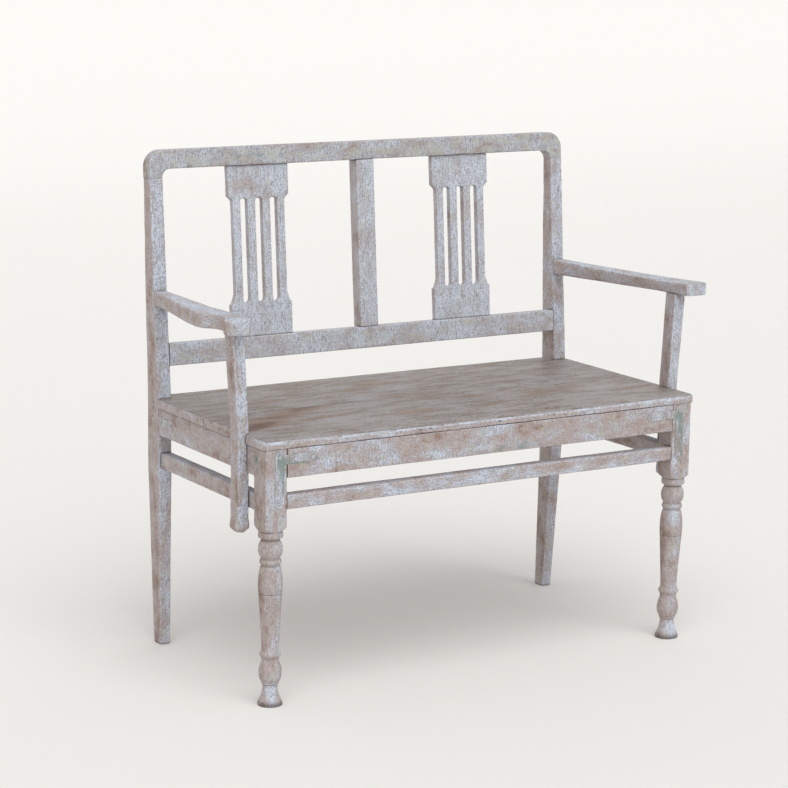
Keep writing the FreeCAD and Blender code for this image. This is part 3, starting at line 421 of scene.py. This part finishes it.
backPost = {**woodBase, "grain": "z",
            "grimeAndShadePatches": [((-441, 427, 451), (14, 4, 14), 1.2), ((-441, 432, 432), (14, 4, 5), 1.2),
                             ((-441, 396, 387), (14, 4, 5), 1.0)],
            "barenessAndShadePatches": [((0, 440, 150), (4000, 200, 200), 0.5)],
            "radius": 2.2, "sway": 0.5, "ends": (2, 0.5), "step": 8, "x": (414, 441), "y": (403, 447),
            "footX": (409.5, 430.5), "footY": (419.5, 447), "taperTop": 326, "top": 391, "topV": (0.3, 26)}
for number, (hand, side) in enumerate(sides.items()):
    bent = back["seatZ"]
    top = [backPoint(side * backPost["x"][a], backPost["topV"][b], backPost["top"])
           for a, b in ((1, 0), (0, 0), (0, 1), (1, 1))]
    stations = [
        (0, flatSection(side, backPost["footX"], backPost["footY"], 0)),
        (backPost["taperTop"], flatSection(side, backPost["x"], backPost["y"], backPost["taperTop"])),
        (bent, flatSection(side, backPost["x"], backPost["y"], bent)),
        (bent + backPost["top"], top),
    ]
    makeBar("back_post_" + hand, stations, backPost, 3 + number)

crestRail = {**woodBase, "material": backWood, "barenessAndShade": -0.9, "freshAndHighlight": -0.7, "radius": 2.4, "sway": 0.4,
             "ends": (0.5, 0.5), "step": 8, "low": 391, "top": 441.4, "halfWidth": 441, "outerRound": 30,
             "innerLow": 391, "innerHalf": 414, "innerRound": 15.3, "straightHalf": 330,
             "patinaPatches": [backPatch(-262, 426, 22, 10, 0.5), backPatch(-225, 423, 20, 8, 0.4),
                               backPatch(-190, 423, 26, 8, 0.4)],
             "barenessAndShadePatches": [backPatch(-114, 439, 60, 5, 1.3)],
             "grimeAndShadePatches": [backPatch(-362, 409, 6, 4, 1.2)]}


# The outer and inner outline of the rail, from the foot of one end to the middle, then mirrored.
def crestStations():
    outer, inner = [], []
    outerRound, innerRound = crestRail["outerRound"], crestRail["innerRound"]
    straight = crestRail["top"] - crestRail["low"] - outerRound
    arcLength = outerRound * math.pi / 2
    outerCentre = (crestRail["halfWidth"] - outerRound, crestRail["top"] - outerRound)
    innerCentre = (crestRail["innerHalf"] - innerRound, crestRail["innerLow"])
    for i in range(9):
        t = i / 8
        reach = t * (straight + arcLength)
        if reach <= straight:
            outer.append((crestRail["halfWidth"], crestRail["low"] + reach))
        else:
            turn = (reach - straight) / outerRound
            outer.append((outerCentre[0] + outerRound * math.cos(turn),
                          outerCentre[1] + outerRound * math.sin(turn)))
        turn = t * math.pi / 2
        inner.append((innerCentre[0] + innerRound * math.cos(turn),
                      innerCentre[1] + innerRound * math.sin(turn)))
    outer += [(crestRail["straightHalf"], crestRail["top"]), (0, crestRail["top"])]
    innerTop = crestRail["innerLow"] + innerRound
    inner += [(crestRail["straightHalf"], innerTop), (0, innerTop)]
    pairs = list(zip(outer, inner))
    pairs += [((-a[0], a[1]), (-b[0], b[1])) for a, b in reversed(pairs[:-1])]
    stations, distance, before = [], 0, None
    for a, b in pairs:
        middle = Vector(((a[0] + b[0]) / 2, (a[1] + b[1]) / 2))
        distance += (middle - before).length if before else 0
        before = middle
        stations.append((distance, [backPoint(a[0], 0, a[1]), backPoint(b[0], 0, b[1]),
                                    backPoint(b[0], 26, b[1]), backPoint(a[0], 26, a[1])]))
    return stations


makeBar("crest_rail", crestStations(), crestRail, 7)
lowerRail = {**woodBase, "material": backWood, "radius": 1.6, "barenessAndShade": 0.1, "freshAndHighlight": -0.1,
             "x": (-414, 414), "v": (0, 22), "w": (56.7, 97.3)}
stations = backStations("x", *lowerRail["x"], lowerRail["w"], lowerRail["v"])
makeBar("lower_back_rail", stations, lowerRail, 9)
centrePost = {**woodBase, "material": backWood, "grain": "z", "radius": 1.8,
              "x": (-19, 19), "v": (0, 28), "w": (97.3, 406.3)}
stations = backStations("w", *centrePost["w"], centrePost["x"], centrePost["v"])
makeBar("back_centre_post", stations, centrePost, 11)

splat = {**woodBase, "material": backWood, "grain": "z", "barenessAndShade": -0.2, "front": 5, "thick": 12,
         "half": 62, "shaft": 53, "pitch": 30.3, "slotHalf": 7.3, "slotLow": 158, "slotHigh": 347,
         "radius": 0.7,
         "baseLow": 156, "baseHigh": 178, "shoulderLow": 341, "shoulderHigh": 352, "low": 97.3, "high": 406.3,
         "barenessAndShadePatches": [backPatch(-259, 371, 14, 10, 1.1), backPatch(-232, 370, 12, 10, 1.0)]}


# Half the splat's width at a height: ogee shoulders at the top and the foot.
def splatHalf(w):
    if w >= splat["shoulderHigh"] or w <= splat["baseLow"]:
        return splat["half"]
    if splat["baseHigh"] <= w <= splat["shoulderLow"]:
        return splat["shaft"]
    if w > splat["shoulderLow"]:
        t = (w - splat["shoulderLow"]) / (splat["shoulderHigh"] - splat["shoulderLow"])
        return splat["shaft"] + (splat["half"] - splat["shaft"]) * t ** 1.6
    t = (w - splat["baseLow"]) / (splat["baseHigh"] - splat["baseLow"])
    return splat["half"] - (splat["half"] - splat["shaft"]) * min(1, t * 1.15) ** 0.55


# Half a slot's width at a height: a round bottom and a nearly square top.
def slotHalf(w):
    if not splat["slotLow"] < w < splat["slotHigh"]:
        return 0
    fromLow, fromHigh = w - splat["slotLow"], splat["slotHigh"] - w
    half = splat["slotHalf"]
    if fromLow < half:
        half = math.sqrt(half * half - (half - fromLow) ** 2)
    if fromHigh < 3:
        half = min(half, splat["slotHalf"] * math.sqrt(max(0, 1 - (1 - fromHigh / 3) ** 2)))
    return half


# A splat is four strips side by side, which part at the slots and join above and below them.
def makeSplat(node, middle, seed):
    step = 3.5
    heights = [splat["low"] + step * i for i in range(int((splat["high"] - splat["low"]) / step) + 1)]
    # Levels close up where a slot ends or the outline turns.
    for level, reach in ((splat["slotLow"], 8.5), (splat["slotHigh"], -3.5), (splat["shoulderHigh"], -12),
                         (splat["baseLow"], 23)):
        low, high = min(level, level + reach), max(level, level + reach)
        heights = [w for w in heights if not low - 1 < w < high + 1]
        heights += [level + reach * (i / 7) ** 1.5 for i in range(8)]
    heights = sorted(set(round(w, 3) for w in heights + [splat["low"], splat["high"]]))
    insets = (0, 0.35, 1.0)
    points, edges, faces, table = [], [], [], {}

    def addPoint(key, x, v, w, edge):
        if key not in table:
            table[key] = len(points)
            points.append(backPoint(middle + x, v, w))
            edges.append(edge)
        return table[key]

    radius = splat["radius"]
    front, rear = splat["front"], splat["front"] + splat["thick"]
    rows = []
    for row, w in enumerate(heights):
        half = splatHalf(w) - 0.4 - 0.4 * wander(seed, w, 40)
        gap = slotHalf(w)
        strips = []
        for k in range(4):
            left = -half if k == 0 else (k - 2) * splat["pitch"] + gap
            right = half if k == 3 else (k - 1) * splat["pitch"] - gap
            openLeft, openRight = k == 0 or gap > 0, k == 3 or gap > 0
            columns = []
            for place in range(9):
                if place < 3:
                    reach = left + insets[place] * radius
                    edgeGap = insets[place] * radius
                elif place > 5:
                    reach = right - insets[8 - place] * radius
                    edgeGap = insets[8 - place] * radius
                else:
                    reach = left + (right - left) * (0.25 + 0.25 * (place - 3))
                    edgeGap = radius
                opened = (place < 3 and openLeft) or (place > 5 and openRight)
                sink = radius - math.sqrt(max(0, radius ** 2 - (radius - edgeGap) ** 2)) if opened else 0
                key = (row, k, place)
                if place == 0 and k > 0 and gap == 0:
                    key = (row, k - 1, 8)
                wear = 1 if opened else (0.35 if place in (3, 5) else 0)
                frontPoint = addPoint(("f",) + key, reach, front + sink, w, wear)
                rearPoint = addPoint(("r",) + key, reach, rear - sink, w, wear)
                columns.append((frontPoint, rearPoint))
            strips.append((columns, openLeft, openRight))
        rows.append(strips)
    for low, high in zip(rows, rows[1:]):
        for k in range(4):
            for place in range(8):
                for face in (0, 1):
                    quad = [low[k][0][place][face], low[k][0][place + 1][face],
                            high[k][0][place + 1][face], high[k][0][place][face]]
                    quad = list(dict.fromkeys(quad))
                    if len(quad) > 2:
                        faces.append(quad)
            for place, opened in ((0, 1), (8, 2)):
                if low[k][opened] or high[k][opened]:
                    quad = [low[k][0][place][0], high[k][0][place][0],
                            high[k][0][place][1], low[k][0][place][1]]
                    quad = list(dict.fromkeys(quad))
                    if len(quad) > 2:
                        faces.append(quad)
    for strips in (rows[0], rows[-1]):
        line = []
        for columns, _, _ in strips:
            line += columns
        line = list(dict.fromkeys(line))
        for first, second in zip(line, line[1:]):
            faces.append([first[0], second[0], second[1], first[1]])
    return makePiece(node, points, faces, edges, splat, seed)


makeSplat("splat_left", -222, 13)
makeSplat("splat_right", 209, 14)

print("front legs")

frontLeg = {**woodBase, "grain": "z", "block": 42.5, "corner": 2.2, "sunk": 1.1, "lean": 3.5,
            "coneLow": 304, "top": 444, "barenessAndShade": 0.4, "freshAndHighlight": -0.1,
            "patinaPatches": [((-412, 0, 416), (11, 9, 16), 0.7), ((417, 0, 416), (11, 9, 16), 0.7),
                              ((421, 0, 373), (3, 9, 30), 0.5), ((-441, 33, 424), (12, 8, 9), 1.0)],
            "grimeAndShadePatches": [((0, 20, 1), (2000, 2000, 9), 1.3), ((-398.5, 0, 419), (4, 9, 30), -0.5),
                             ((398.5, 0, 419), (4, 9, 30), -0.5)],
            "freshAndHighlightPatches": [((0, 20, 26), (2000, 2000, 14), 0.6)]}
# The turning, as heights and radii: foot, ball, bead, long vase, bead, ball and the ring under the block.
legProfile = [
    (0, 20.2), (0.6, 20.9), (4, 21.2), (8, 19.4), (14, 16.6), (21, 14.4), (29, 13.2), (35, 12.8), (37, 12.8),
    (38, 15), (41, 15.1), (42, 16), (46, 18), (52, 19.4), (58, 19.7), (64, 19.2), (70, 17.6), (75, 15.6),
    (77, 15), (83, 15), (85, 16.6), (87.5, 18), (90, 18.4), (92.5, 17.6), (95, 15.8), (97, 15.1),
    (110, 15.3), (130, 16.2), (150, 17.3), (170, 18.5), (190, 19.8), (194, 20.2), (195.5, 19.3), (197, 20.3),
    (206, 20.7), (214, 20.8), (222, 20.5), (230, 19.5), (237, 18.2), (241, 17.3), (243, 15.9), (245, 16),
    (246.5, 17.6), (250, 18.8), (253.5, 17.7), (255.5, 16), (257, 16.1), (259, 17.4), (263, 19.6),
    (268, 20.7), (272, 20.8), (277, 20.4), (282, 18.8), (286, 16.5), (288.5, 15.6), (290, 16.8),
    (292, 20.4), (293.5, 21.1), (299, 21.1), (301.5, 20), (303, 19.8),
]


def makeLeg(node, side, seed):
    half = frontLeg["block"] / 2
    centreX, centreY = side * (441 - half), half
    # Above the turning a cone meets the block, and a radius past its corners leaves the block square.
    pastCorners = 60
    levels = legProfile + [(frontLeg["coneLow"] + 1.0 * i, 21.5 + 1.08 * i) for i in range(12)]
    levels += [(318 + 9 * i, pastCorners) for i in range(14)]
    levels += [(frontLeg["top"] - gap, pastCorners) for gap in (2.5, 0.8, 0)]
    angles = []
    for quarter in range(4):
        base = quarter * math.pi / 2
        angles += [base + math.radians(-45 + 5 * i) for i in range(18)]
    rings, edges = [], []
    for z, turned in levels:
        ring, values = [], []
        for angle in angles:
            corner = frontLeg["corner"] * (1 + 0.4 * wander(seed + int(angle * 2), z, 40))
            c, s = abs(math.cos(angle)), abs(math.sin(angle))
            trim = frontLeg["sunk"] if math.sin(angle) < -0.7 else 0.35
            inner = half - corner - trim
            flat = (half - trim) / max(c, s)
            # Where the ray meets the rounded corner, a quarter circle about (inner, inner).
            b = inner * (c + s)
            under = b * b - 2 * inner * inner + corner * corner
            if flat * min(c, s) > inner and under > 0:
                flat = min(flat, b + math.sqrt(under))
            lump = 0.25 * noise.noise(Vector((math.cos(angle) * 2, math.sin(angle) * 2 + seed, z / 22)))
            reach = min(flat, turned + lump)
            reach -= 0.5 if z == frontLeg["top"] else 0
            lean = frontLeg["lean"] * max(0, 1 - z / frontLeg["coneLow"]) if side > 0 else 0
            ring.append(Vector((centreX + reach * math.cos(angle) - lean,
                                centreY + reach * math.sin(angle), z)))
            if z >= frontLeg["coneLow"]:
                values.append(1 if flat * min(c, s) > inner - 1 else 0)
            else:
                values.append(0.3)
        rings.append(ring)
        edges += values
    points = [point for ring in rings for point in ring]
    size = len(angles)
    faces = [tuple(range(size)), tuple(range(len(points) - size, len(points)))]
    for i in range(len(rings) - 1):
        for j in range(size):
            k = (j + 1) % size
            faces.append((i * size + j, i * size + k, (i + 1) * size + k, (i + 1) * size + j))
    return makePiece(node, points, faces, edges, frontLeg, seed)


for number, (hand, side) in enumerate(sides.items()):
    makeLeg("front_leg_" + hand, side, 17 + number)

print("aprons and stretchers")

apron = {**woodBase, "radius": 1.3, "across": (3, 1), "barenessAndShade": 0.45, "freshAndHighlight": -0.15, "z": (394, 444)}
frontApron = {**apron, "x": (-398.5, 398.5), "y": (1.0, 20),
              "barenessAndShadePatches": [((187, 0, 433), (45, 9, 12), 1.0), ((106, 0, 430), (40, 9, 12), 1.0),
                                  ((180, 0, 412), (35, 9, 9), 1.0), ((-115, 0, 434), (70, 9, 13), 0.8)],
              "patinaPatches": [((22, 0, 402), (50, 9, 7), 0.45), ((86, 0, 401), (50, 9, 7), 0.4)],
              "grimeAndShadePatches": [((0, 0, 445), (4000, 9, 3), -0.25), ((-120, 0, 445), (60, 9, 3), 0.5),
                               ((60, 0, 445), (40, 9, 3), 0.5), ((250, 0, 445), (70, 9, 3), 0.4),
                               ((-398.5, 0, 419), (4, 9, 40), -0.6), ((398.5, 0, 419), (4, 9, 40), -0.6)]}
backApron = {**apron, "x": (-414, 414), "y": (424, 444)}
frontStretcher = {**woodBase, "radius": 2.6, "rub": "x", "barenessAndShade": 0.5,
                  "x": (-398.5, 398.5), "y": (2, 26), "z": (340, 365),
                  "barenessAndShadePatches": [((372, 0, 356), (30, 9, 12), 1.0), ((134, 0, 359), (45, 9, 8), 1.0),
                                      ((238, 0, 358), (40, 9, 8), 1.0)]}
for node, bar, seed in (("front_apron", frontApron, 21), ("back_apron", backApron, 22),
                        ("front_stretcher", frontStretcher, 23)):
    makeBar(node, straightStations("x", *bar["x"], bar["y"], bar["z"]), bar, seed)

# The right-hand pieces, which the left-hand ones mirror.
sideApron = {**woodBase, "grain": "y", "radius": 1.6, "across": (3, 1),
             "x": (421, 440.2), "y": (42.5, 403), "z": (394, 444)}
sideStretcher = {**woodBase, "grain": "y", "radius": 2.4, "x": (413, 436), "y": (42.5, 403), "z": (333, 361)}
bearer = {**woodBase, "grain": "y", "rub": "y", "radius": 1, "barenessAndShade": 1,
          "x": (177, 213), "y": (20, 424), "z": (416, 444)}
for number, (hand, side) in enumerate(sides.items()):
    for name, bar, seed in (("side_apron_", sideApron, 25), ("side_stretcher_", sideStretcher, 27),
                            ("seat_bearer_", bearer, 29)):
        across = bar["x"] if side > 0 else (-bar["x"][1], -bar["x"][0])
        makeBar(name + hand, straightStations("y", *bar["y"], across, bar["z"]), bar, seed + number)

print("seat")

# The planks' edges have the frame's finish.
seatPlank = {"material": seatWood, "slot": "seat_wood", "grain": "x", "rub": "x", "radius": 2.2,
             "across": (14, 1), "ends": (2, 2), "sway": 0.15, "half": 443, "z": (444, 460), "dip": 3.2,
             "dipReach": 28, "sideBareAndShade": 1.1, "underBare": 0.8, "rearBare": 0.3, "hollowDirtAndShade": 0,
             "edgeMaterial": frameWood,
             # The first five patches paint the soft brown shadow that the left arm and its post cast across
             # the front plank; the others are bare brown streaks and the plank's barer front face.
             "barenessAndShadePatches": [((-417, 106, 460), (38, 20, 30), 3.4), ((-370, 134, 460), (38, 20, 30), 3.4),
                                 ((-320, 168, 460), (38, 18, 30), 3.0), ((-267, 201, 460), (40, 16, 30), 2.4),
                                 ((-227, 215, 460), (36, 12, 30), 1.2), ((-33, 353, 460), (45, 18, 30), 1.5),
                                 ((-84, 305, 460), (40, 14, 30), 1.2), ((-142, 95, 460), (42, 10, 30), 1.9),
                                 ((-79, 104, 460), (45, 9, 30), 1.6), ((-259, 129, 460), (40, 8, 30), 1.4),
                                 ((-43, 226, 460), (60, 9, 30), 1.4), ((-280, 290, 460), (40, 16, 30), 1.4),
                                 ((81, 405, 460), (60, 12, 30), 1.2), ((226, 149, 460), (50, 11, 30), 1.9),
                                 ((184, 133, 460), (40, 9, 30), 1.6), ((302, 167, 460), (40, 11, 30), 1.5),
                                 ((42, 244, 460), (60, 9, 30), 1.3), ((383, 106, 460), (45, 10, 30), 1.6),
                                 ((91, 172, 460), (60, 9, 30), 1.3), ((0, -2, 448), (4000, 5, 6), 1.1)],
             # The first two patches paint a soft sheen over the front of the seat and a bluish highlight
             # along the top of its rounded front edge; the others are paler paint.
             "freshAndHighlightPatches": [((-160, 22, 460), (280, 30, 12), 0.25), ((0, 0, 460), (4000, 5, 3), 0.4),
                              ((-228, 90, 460), (80, 22, 30), 0.8), ((-112, 246, 460), (30, 12, 30), 0.8),
                              ((-2, 294, 460), (40, 12, 30), 0.8), ((325, 126, 460), (60, 20, 30), 0.2)],
             "grimeAndShadePatches": [((-242, 221, 460), (130, 3, 10), 1.5), ((0, 0, 444), (4000, 5, 3), -0.25)]}


# The top sinks a little toward the middle of its front edge, where sitters have worn it, and is uneven.
def wornSeat(point):
    if point.z <= 452:
        return point.copy()
    middle = max(0, 1 - (point.x / 430) ** 2)
    front = math.exp(-((point.y / seatPlank["dipReach"]) ** 2))
    uneven = 0.35 * noise.noise(Vector((point.x / 160, point.y / 45, 3.3))) - 0.35
    return Vector((point.x, point.y, point.z - seatPlank["dip"] * middle * front + uneven))


# The front plank's upper front edge is rounder than the others.
frontPlank = {**seatPlank, "shape": wornSeat, "y": (0.2, 221.8),
              "cornersAt": lambda k, s: 6.0 + 1.2 * wander(33, s, 60) if k == 3 else None}
stations = straightStations("x", -frontPlank["half"], frontPlank["half"], frontPlank["y"], frontPlank["z"])
stations = [(d, [c[1], c[0], c[3], c[2]]) for d, c in stations]
makeBar("seat_plank_front", stations, frontPlank, 31)

# The rear plank reaches back between the posts, and its ends stop at their fronts.
rearPlank = {**seatPlank, "shape": wornSeat, "radius": 1, "front": 222.2, "back": 438, "endBack": 403,
             "postX": 414}
stations = []
for x, y in ((-rearPlank["half"], rearPlank["endBack"]), (-rearPlank["postX"] - 0.2, rearPlank["endBack"]),
             (-rearPlank["postX"], rearPlank["back"]), (rearPlank["postX"], rearPlank["back"]),
             (rearPlank["postX"] + 0.2, rearPlank["endBack"]), (rearPlank["half"], rearPlank["endBack"])):
    low, high = rearPlank["z"]
    stations.append((x + rearPlank["half"], [Vector((x, rearPlank["front"], low)), Vector((x, y, low)),
                                             Vector((x, y, high)), Vector((x, rearPlank["front"], high))]))
makeBar("seat_plank_rear", stations, rearPlank, 32)

print("arms")

arm = {**woodBase, "grain": "y", "rub": "y", "radius": 3.2, "step": 7, "sway": 0.4,
       "front": 36, "back": 403, "low": 634, "fall": 8, "nose": 13}


# The underside of both arms runs level from the front, then falls toward the back post.
def armUnderside(y):
    return arm["low"] - arm["fall"] * max(0, (y - 120) / (arm["back"] - 120))


# The right arm runs straight with a slight bow, and rises a little toward both ends. Its inner and outer
# sides are each given at the front and at the back post.
rightForm = {"inner": (447, 416), "outer": (495, 441), "bow": 3, "top": 654, "frontRise": 5, "rearRise": 1.2}


# An arm at a place from front to back: inner and outer x, underside and top.
def rightArm(y):
    t = (y - arm["front"]) / (arm["back"] - arm["front"])
    inner = rightForm["inner"][0] + (rightForm["inner"][1] - rightForm["inner"][0]) * t
    outer = rightForm["outer"][0] + (rightForm["outer"][1] - rightForm["outer"][0]) * t
    outer += rightForm["bow"] * math.sin(math.pi * min(1, max(0, t))) - max(0, 4 - (y - arm["front"]))
    top = rightForm["top"] + rightForm["frontRise"] * max(0, 1 - y / 225) ** 2
    top += rightForm["rearRise"] * (max(0, y - 225) / 190) ** 2
    return inner, outer, armUnderside(y), top


# The left arm bows out to a knee, narrows over the arm post and ends in a wider round nose. Its inner side
# is straight as far as the knee.
leftForm = {"inner": (444, 416), "straightTo": 185, "back": 412, "top": 660, "fall": 8}
leftOutline = [(36, 491), (56, 491), (64, 486), (72, 478), (80, 477), (92, 476.4), (105, 477), (112, 478),
               (119, 483), (127, 490), (134, 494.2), (145, 494.8), (156, 494), (185, 489), (220, 482),
               (260, 472.5), (300, 463), (340, 454.5), (380, 446.5), (412, 441)]


def leftArm(y):
    outer = 441
    for (near, first), (far, second) in zip(leftOutline, leftOutline[1:]):
        if near <= y <= far:
            outer = first + (second - first) * (y - near) / (far - near)
    t = max(0, (y - leftForm["straightTo"]) / (leftForm["back"] - leftForm["straightTo"]))
    inner = leftForm["inner"][0] + (leftForm["inner"][1] - leftForm["inner"][0]) * t
    nose, gap = arm["nose"], y - arm["front"]
    trim = nose - math.sqrt(max(0, nose ** 2 - (nose - gap) ** 2)) if gap < nose else 0
    top = leftForm["top"] - leftForm["fall"] * max(0, (y - 140) / 275)
    return inner + trim, outer - trim, armUnderside(y), top


armPlaces = [36, 36.7, 38, 40, 43, 47, 52, 58, 64]
armPlaces += list(range(71, 160, 7)) + list(range(160, 411, 12)) + [417]
for number, (hand, armAt) in enumerate((("left", leftArm), ("right", rightArm))):
    side = sides[hand]
    stations = []
    for y in armPlaces:
        inner, outer, low, high = armAt(y)
        stations.append((y - arm["front"], [Vector((side * outer, y, low)), Vector((side * inner, y, low)),
                                  Vector((side * inner, y, high)), Vector((side * outer, y, high))]))
    makeBar("arm_" + hand, stations, arm, 35 + number)

armPost = {**woodBase, "grain": "z", "radius": 2, "step": 7, "ends": (1, 0.5), "inner": 436, "outer": 457,
           "front": 67, "rear": 96, "seatZ": 460, "top": 634, "low": 291, "cap": 3, "neck": -1.4,
           "grimeAndShadePatches": [((-450, 80, 313), (40, 40, 2), 1.3), ((450, 80, 313), (40, 40, 2), 1.3)],
           "barenessAndShadePatches": [((-458, 66, 348), (9, 14, 12), 2.2), ((-458, 66, 440), (6, 14, 8), 1.5)]}


# The post leans outward above the seat. Below, it ends in a fuller cap under a slim neck.
def postSection(side, z):
    inner, outer = armPost["inner"], armPost["outer"]
    if z > armPost["seatZ"]:
        t = (z - armPost["seatZ"]) / (armPost["top"] - armPost["seatZ"])
        inner, outer = inner + 9 * t, outer + 12 * t
    grow = 0
    if z <= 311:
        grow = armPost["cap"] if z >= 298 else -2.6 + 5.6 * (z - armPost["low"]) / 7
        grow -= max(0, z - 309)
    elif z < 315:
        grow = armPost["neck"]
    depth = (armPost["front"] - grow, armPost["rear"] + grow)
    return flatSection(side, (inner - grow, outer + grow), depth, z)


# The cap, up to 24 mm above the post's lower end, is cut to eight sides.
postLevels = [291, 294, 298, 303, 306, 309, 311, 311.6, 314, 315, 316, 320, 460, 634]
postSettings = {**armPost, "cornersAt": lambda k, s: 7 if s < 24 else None,
                "roundnessAt": lambda s: 0.1 if s < 24 else 1}
for number, (hand, side) in enumerate(sides.items()):
    stations = [(z - armPost["low"], postSection(side, z)) for z in postLevels]
    makeBar("arm_post_" + hand, stations, postSettings, 37 + number)

print("metal and pegs")

smallPart = {**woodBase, "material": plateIron, "slot": "painted_iron", "round": 0.5, "hollowDirtAndShade": 1.5,
             "sideBareAndShade": 0.3, "barenessAndShade": 0.3, "patina": 0.1}
peg = {**smallPart, "material": frameWood, "slot": "peg_wood"}
plate = {**smallPart, "grain": "z", "round": 0.8,
         "patinaPatches": [((-412, 0, 416), (14, 9, 18), 1.2), ((417, 0, 416), (13, 9, 16), 1.1),
                           ((421, 0, 373), (5, 9, 32), 0.8), ((-340, 0, 422), (8, 9, 10), 0.6)]}


# The plates sit a hair below the heads of their screws.
def sunkPlate(point):
    return Vector((max(-440.6, min(440.6, point.x)), max(0.4, point.y), point.z))


plate["shape"] = sunkPlate
nails = {**smallPart, "material": seatWood, "round": 0.2, "patina": 0, "barenessAndShade": 0, "sideBareAndShade": 0,
         "shape": wornSeat}
for number, node in enumerate(frame["nodes"]):
    if node.startswith(("front_joint_plate", "rear_joint_plate")):
        wornCopy(node, plate, 50 + number)
    elif node == "side_joint_pegs":
        wornCopy(node, {**peg, "patinaPatches": [((-441, 34, 425), (12, 8, 8), 1.4)]}, 50 + number)
    elif node == "plate_screws":
        wornCopy(node, {**smallPart, "grimeAndShade": 0.5}, 50 + number)
    elif node == "back_joint_pegs":
        wornCopy(node, peg, 50 + number)
    elif node == "arm_post_nails":
        wornCopy(node, smallPart, 50 + number)
    elif node == "seat_nails":
        wornCopy(node, nails, 50 + number)

print("studio")

# The floor's lengths are in metres.
studio = {"floor": "#ebe9e6", "near": -9, "far": 6, "curve": 3, "half": 14, "sky": 0.6, "skySeen": 0.87,
          "sun": 1.65, "sunFrom": (-0.15, -0.58, 0.8), "sunSpread": 60}


# Matt emulsion rolled on a smooth floor: an even pale tone that takes a soft shadow and has no gloss.
def mattEmulsion():
    material = bpy.data.materials.new("mattEmulsion")
    material.use_nodes = True
    shader = material.node_tree.nodes["Principled BSDF"]
    shader.inputs["Base Color"].default_value = linearColour(studio["floor"])
    shader.inputs["Roughness"].default_value = 0.8
    return material


# A floor that curves up into a backdrop far behind the bench.
def makeFloor():
    far, curve, half = studio["far"], studio["curve"], studio["half"]
    profile = [(studio["near"], 0), (far, 0)]
    for degrees in range(10, 91, 10):
        turn = math.radians(degrees)
        profile.append((far + curve * math.sin(turn), curve - curve * math.cos(turn)))
    profile += [(far + curve, 9)]
    points, faces = [], []
    for y, z in profile:
        points += [(-half, y, z), (half, y, z)]
    for i in range(len(profile) - 1):
        faces.append((2 * i, 2 * i + 1, 2 * i + 3, 2 * i + 2))
    mesh = bpy.data.meshes.new("floor")
    mesh.from_pydata(points, [], faces)
    mesh.shade_smooth()
    mesh.materials.append(mattEmulsion())
    floor = bpy.data.objects.new("floor", mesh)
    bpy.context.scene.collection.objects.link(floor)


# One wide soft light from the front and above, at about the level where colours render as written.
def addSoftSun():
    data = bpy.data.lights.new("softSun", "SUN")
    data.energy = studio["sun"]
    data.angle = math.radians(studio["sunSpread"])
    lamp = bpy.data.objects.new("softSun", data)
    lamp.rotation_euler = (-Vector(studio["sunFrom"])).to_track_quat("-Z", "Y").to_euler()
    bpy.context.scene.collection.objects.link(lamp)


# An even white sky, which the camera sees a little brighter than it lights the bench.
def addSky():
    world = bpy.data.worlds.new("studioSky")
    bpy.context.scene.world = world
    world.use_nodes = True
    background = world.node_tree.nodes["Background"]
    background.inputs["Color"].default_value = (1, 1, 1, 1)
    seen = addNode(world.node_tree, "LightPath")
    brighter = studio["skySeen"] - studio["sky"]
    level = addNode(world.node_tree, "Math", {0: seen, 1: brighter, 2: studio["sky"]},
                    operation="MULTIPLY_ADD")
    world.node_tree.links.new(level, background.inputs["Strength"])


makeFloor()
addSoftSun()
addSky()
bpy.context.scene.view_settings.view_transform = "Standard"

# Angles in degrees, the place in millimetres and the focal length in pixels of a picture 788 wide.
camera = {"azimuth": -31.2895, "elevation": 11.2177, "roll": 0.7806, "focalPixels": 2562.77,
          "pictureWidth": 788, "place": (-2402.2, -3631.4, 1361.1)}


def makeCamera():
    azimuth, elevation, roll = (math.radians(camera[key]) for key in ("azimuth", "elevation", "roll"))
    backward = Vector((math.sin(azimuth) * math.cos(elevation), -math.cos(azimuth) * math.cos(elevation),
                       math.sin(elevation)))
    right = Vector((0, 0, 1)).cross(backward).normalized()
    upward = backward.cross(right)
    turnedRight = right * math.cos(roll) + upward * math.sin(roll)
    turnedUp = upward * math.cos(roll) - right * math.sin(roll)
    data = bpy.data.cameras.new("camera")
    data.sensor_width = 36
    data.lens = camera["focalPixels"] / camera["pictureWidth"] * data.sensor_width
    data.clip_end = 100
    item = bpy.data.objects.new("camera", data)
    turn = Matrix((turnedRight, turnedUp, backward)).transposed()
    item.matrix_world = Matrix.Translation(toScene(camera["place"])) @ turn.to_4x4()
    bpy.context.scene.collection.objects.link(item)
    bpy.context.scene.camera = item


makeCamera()
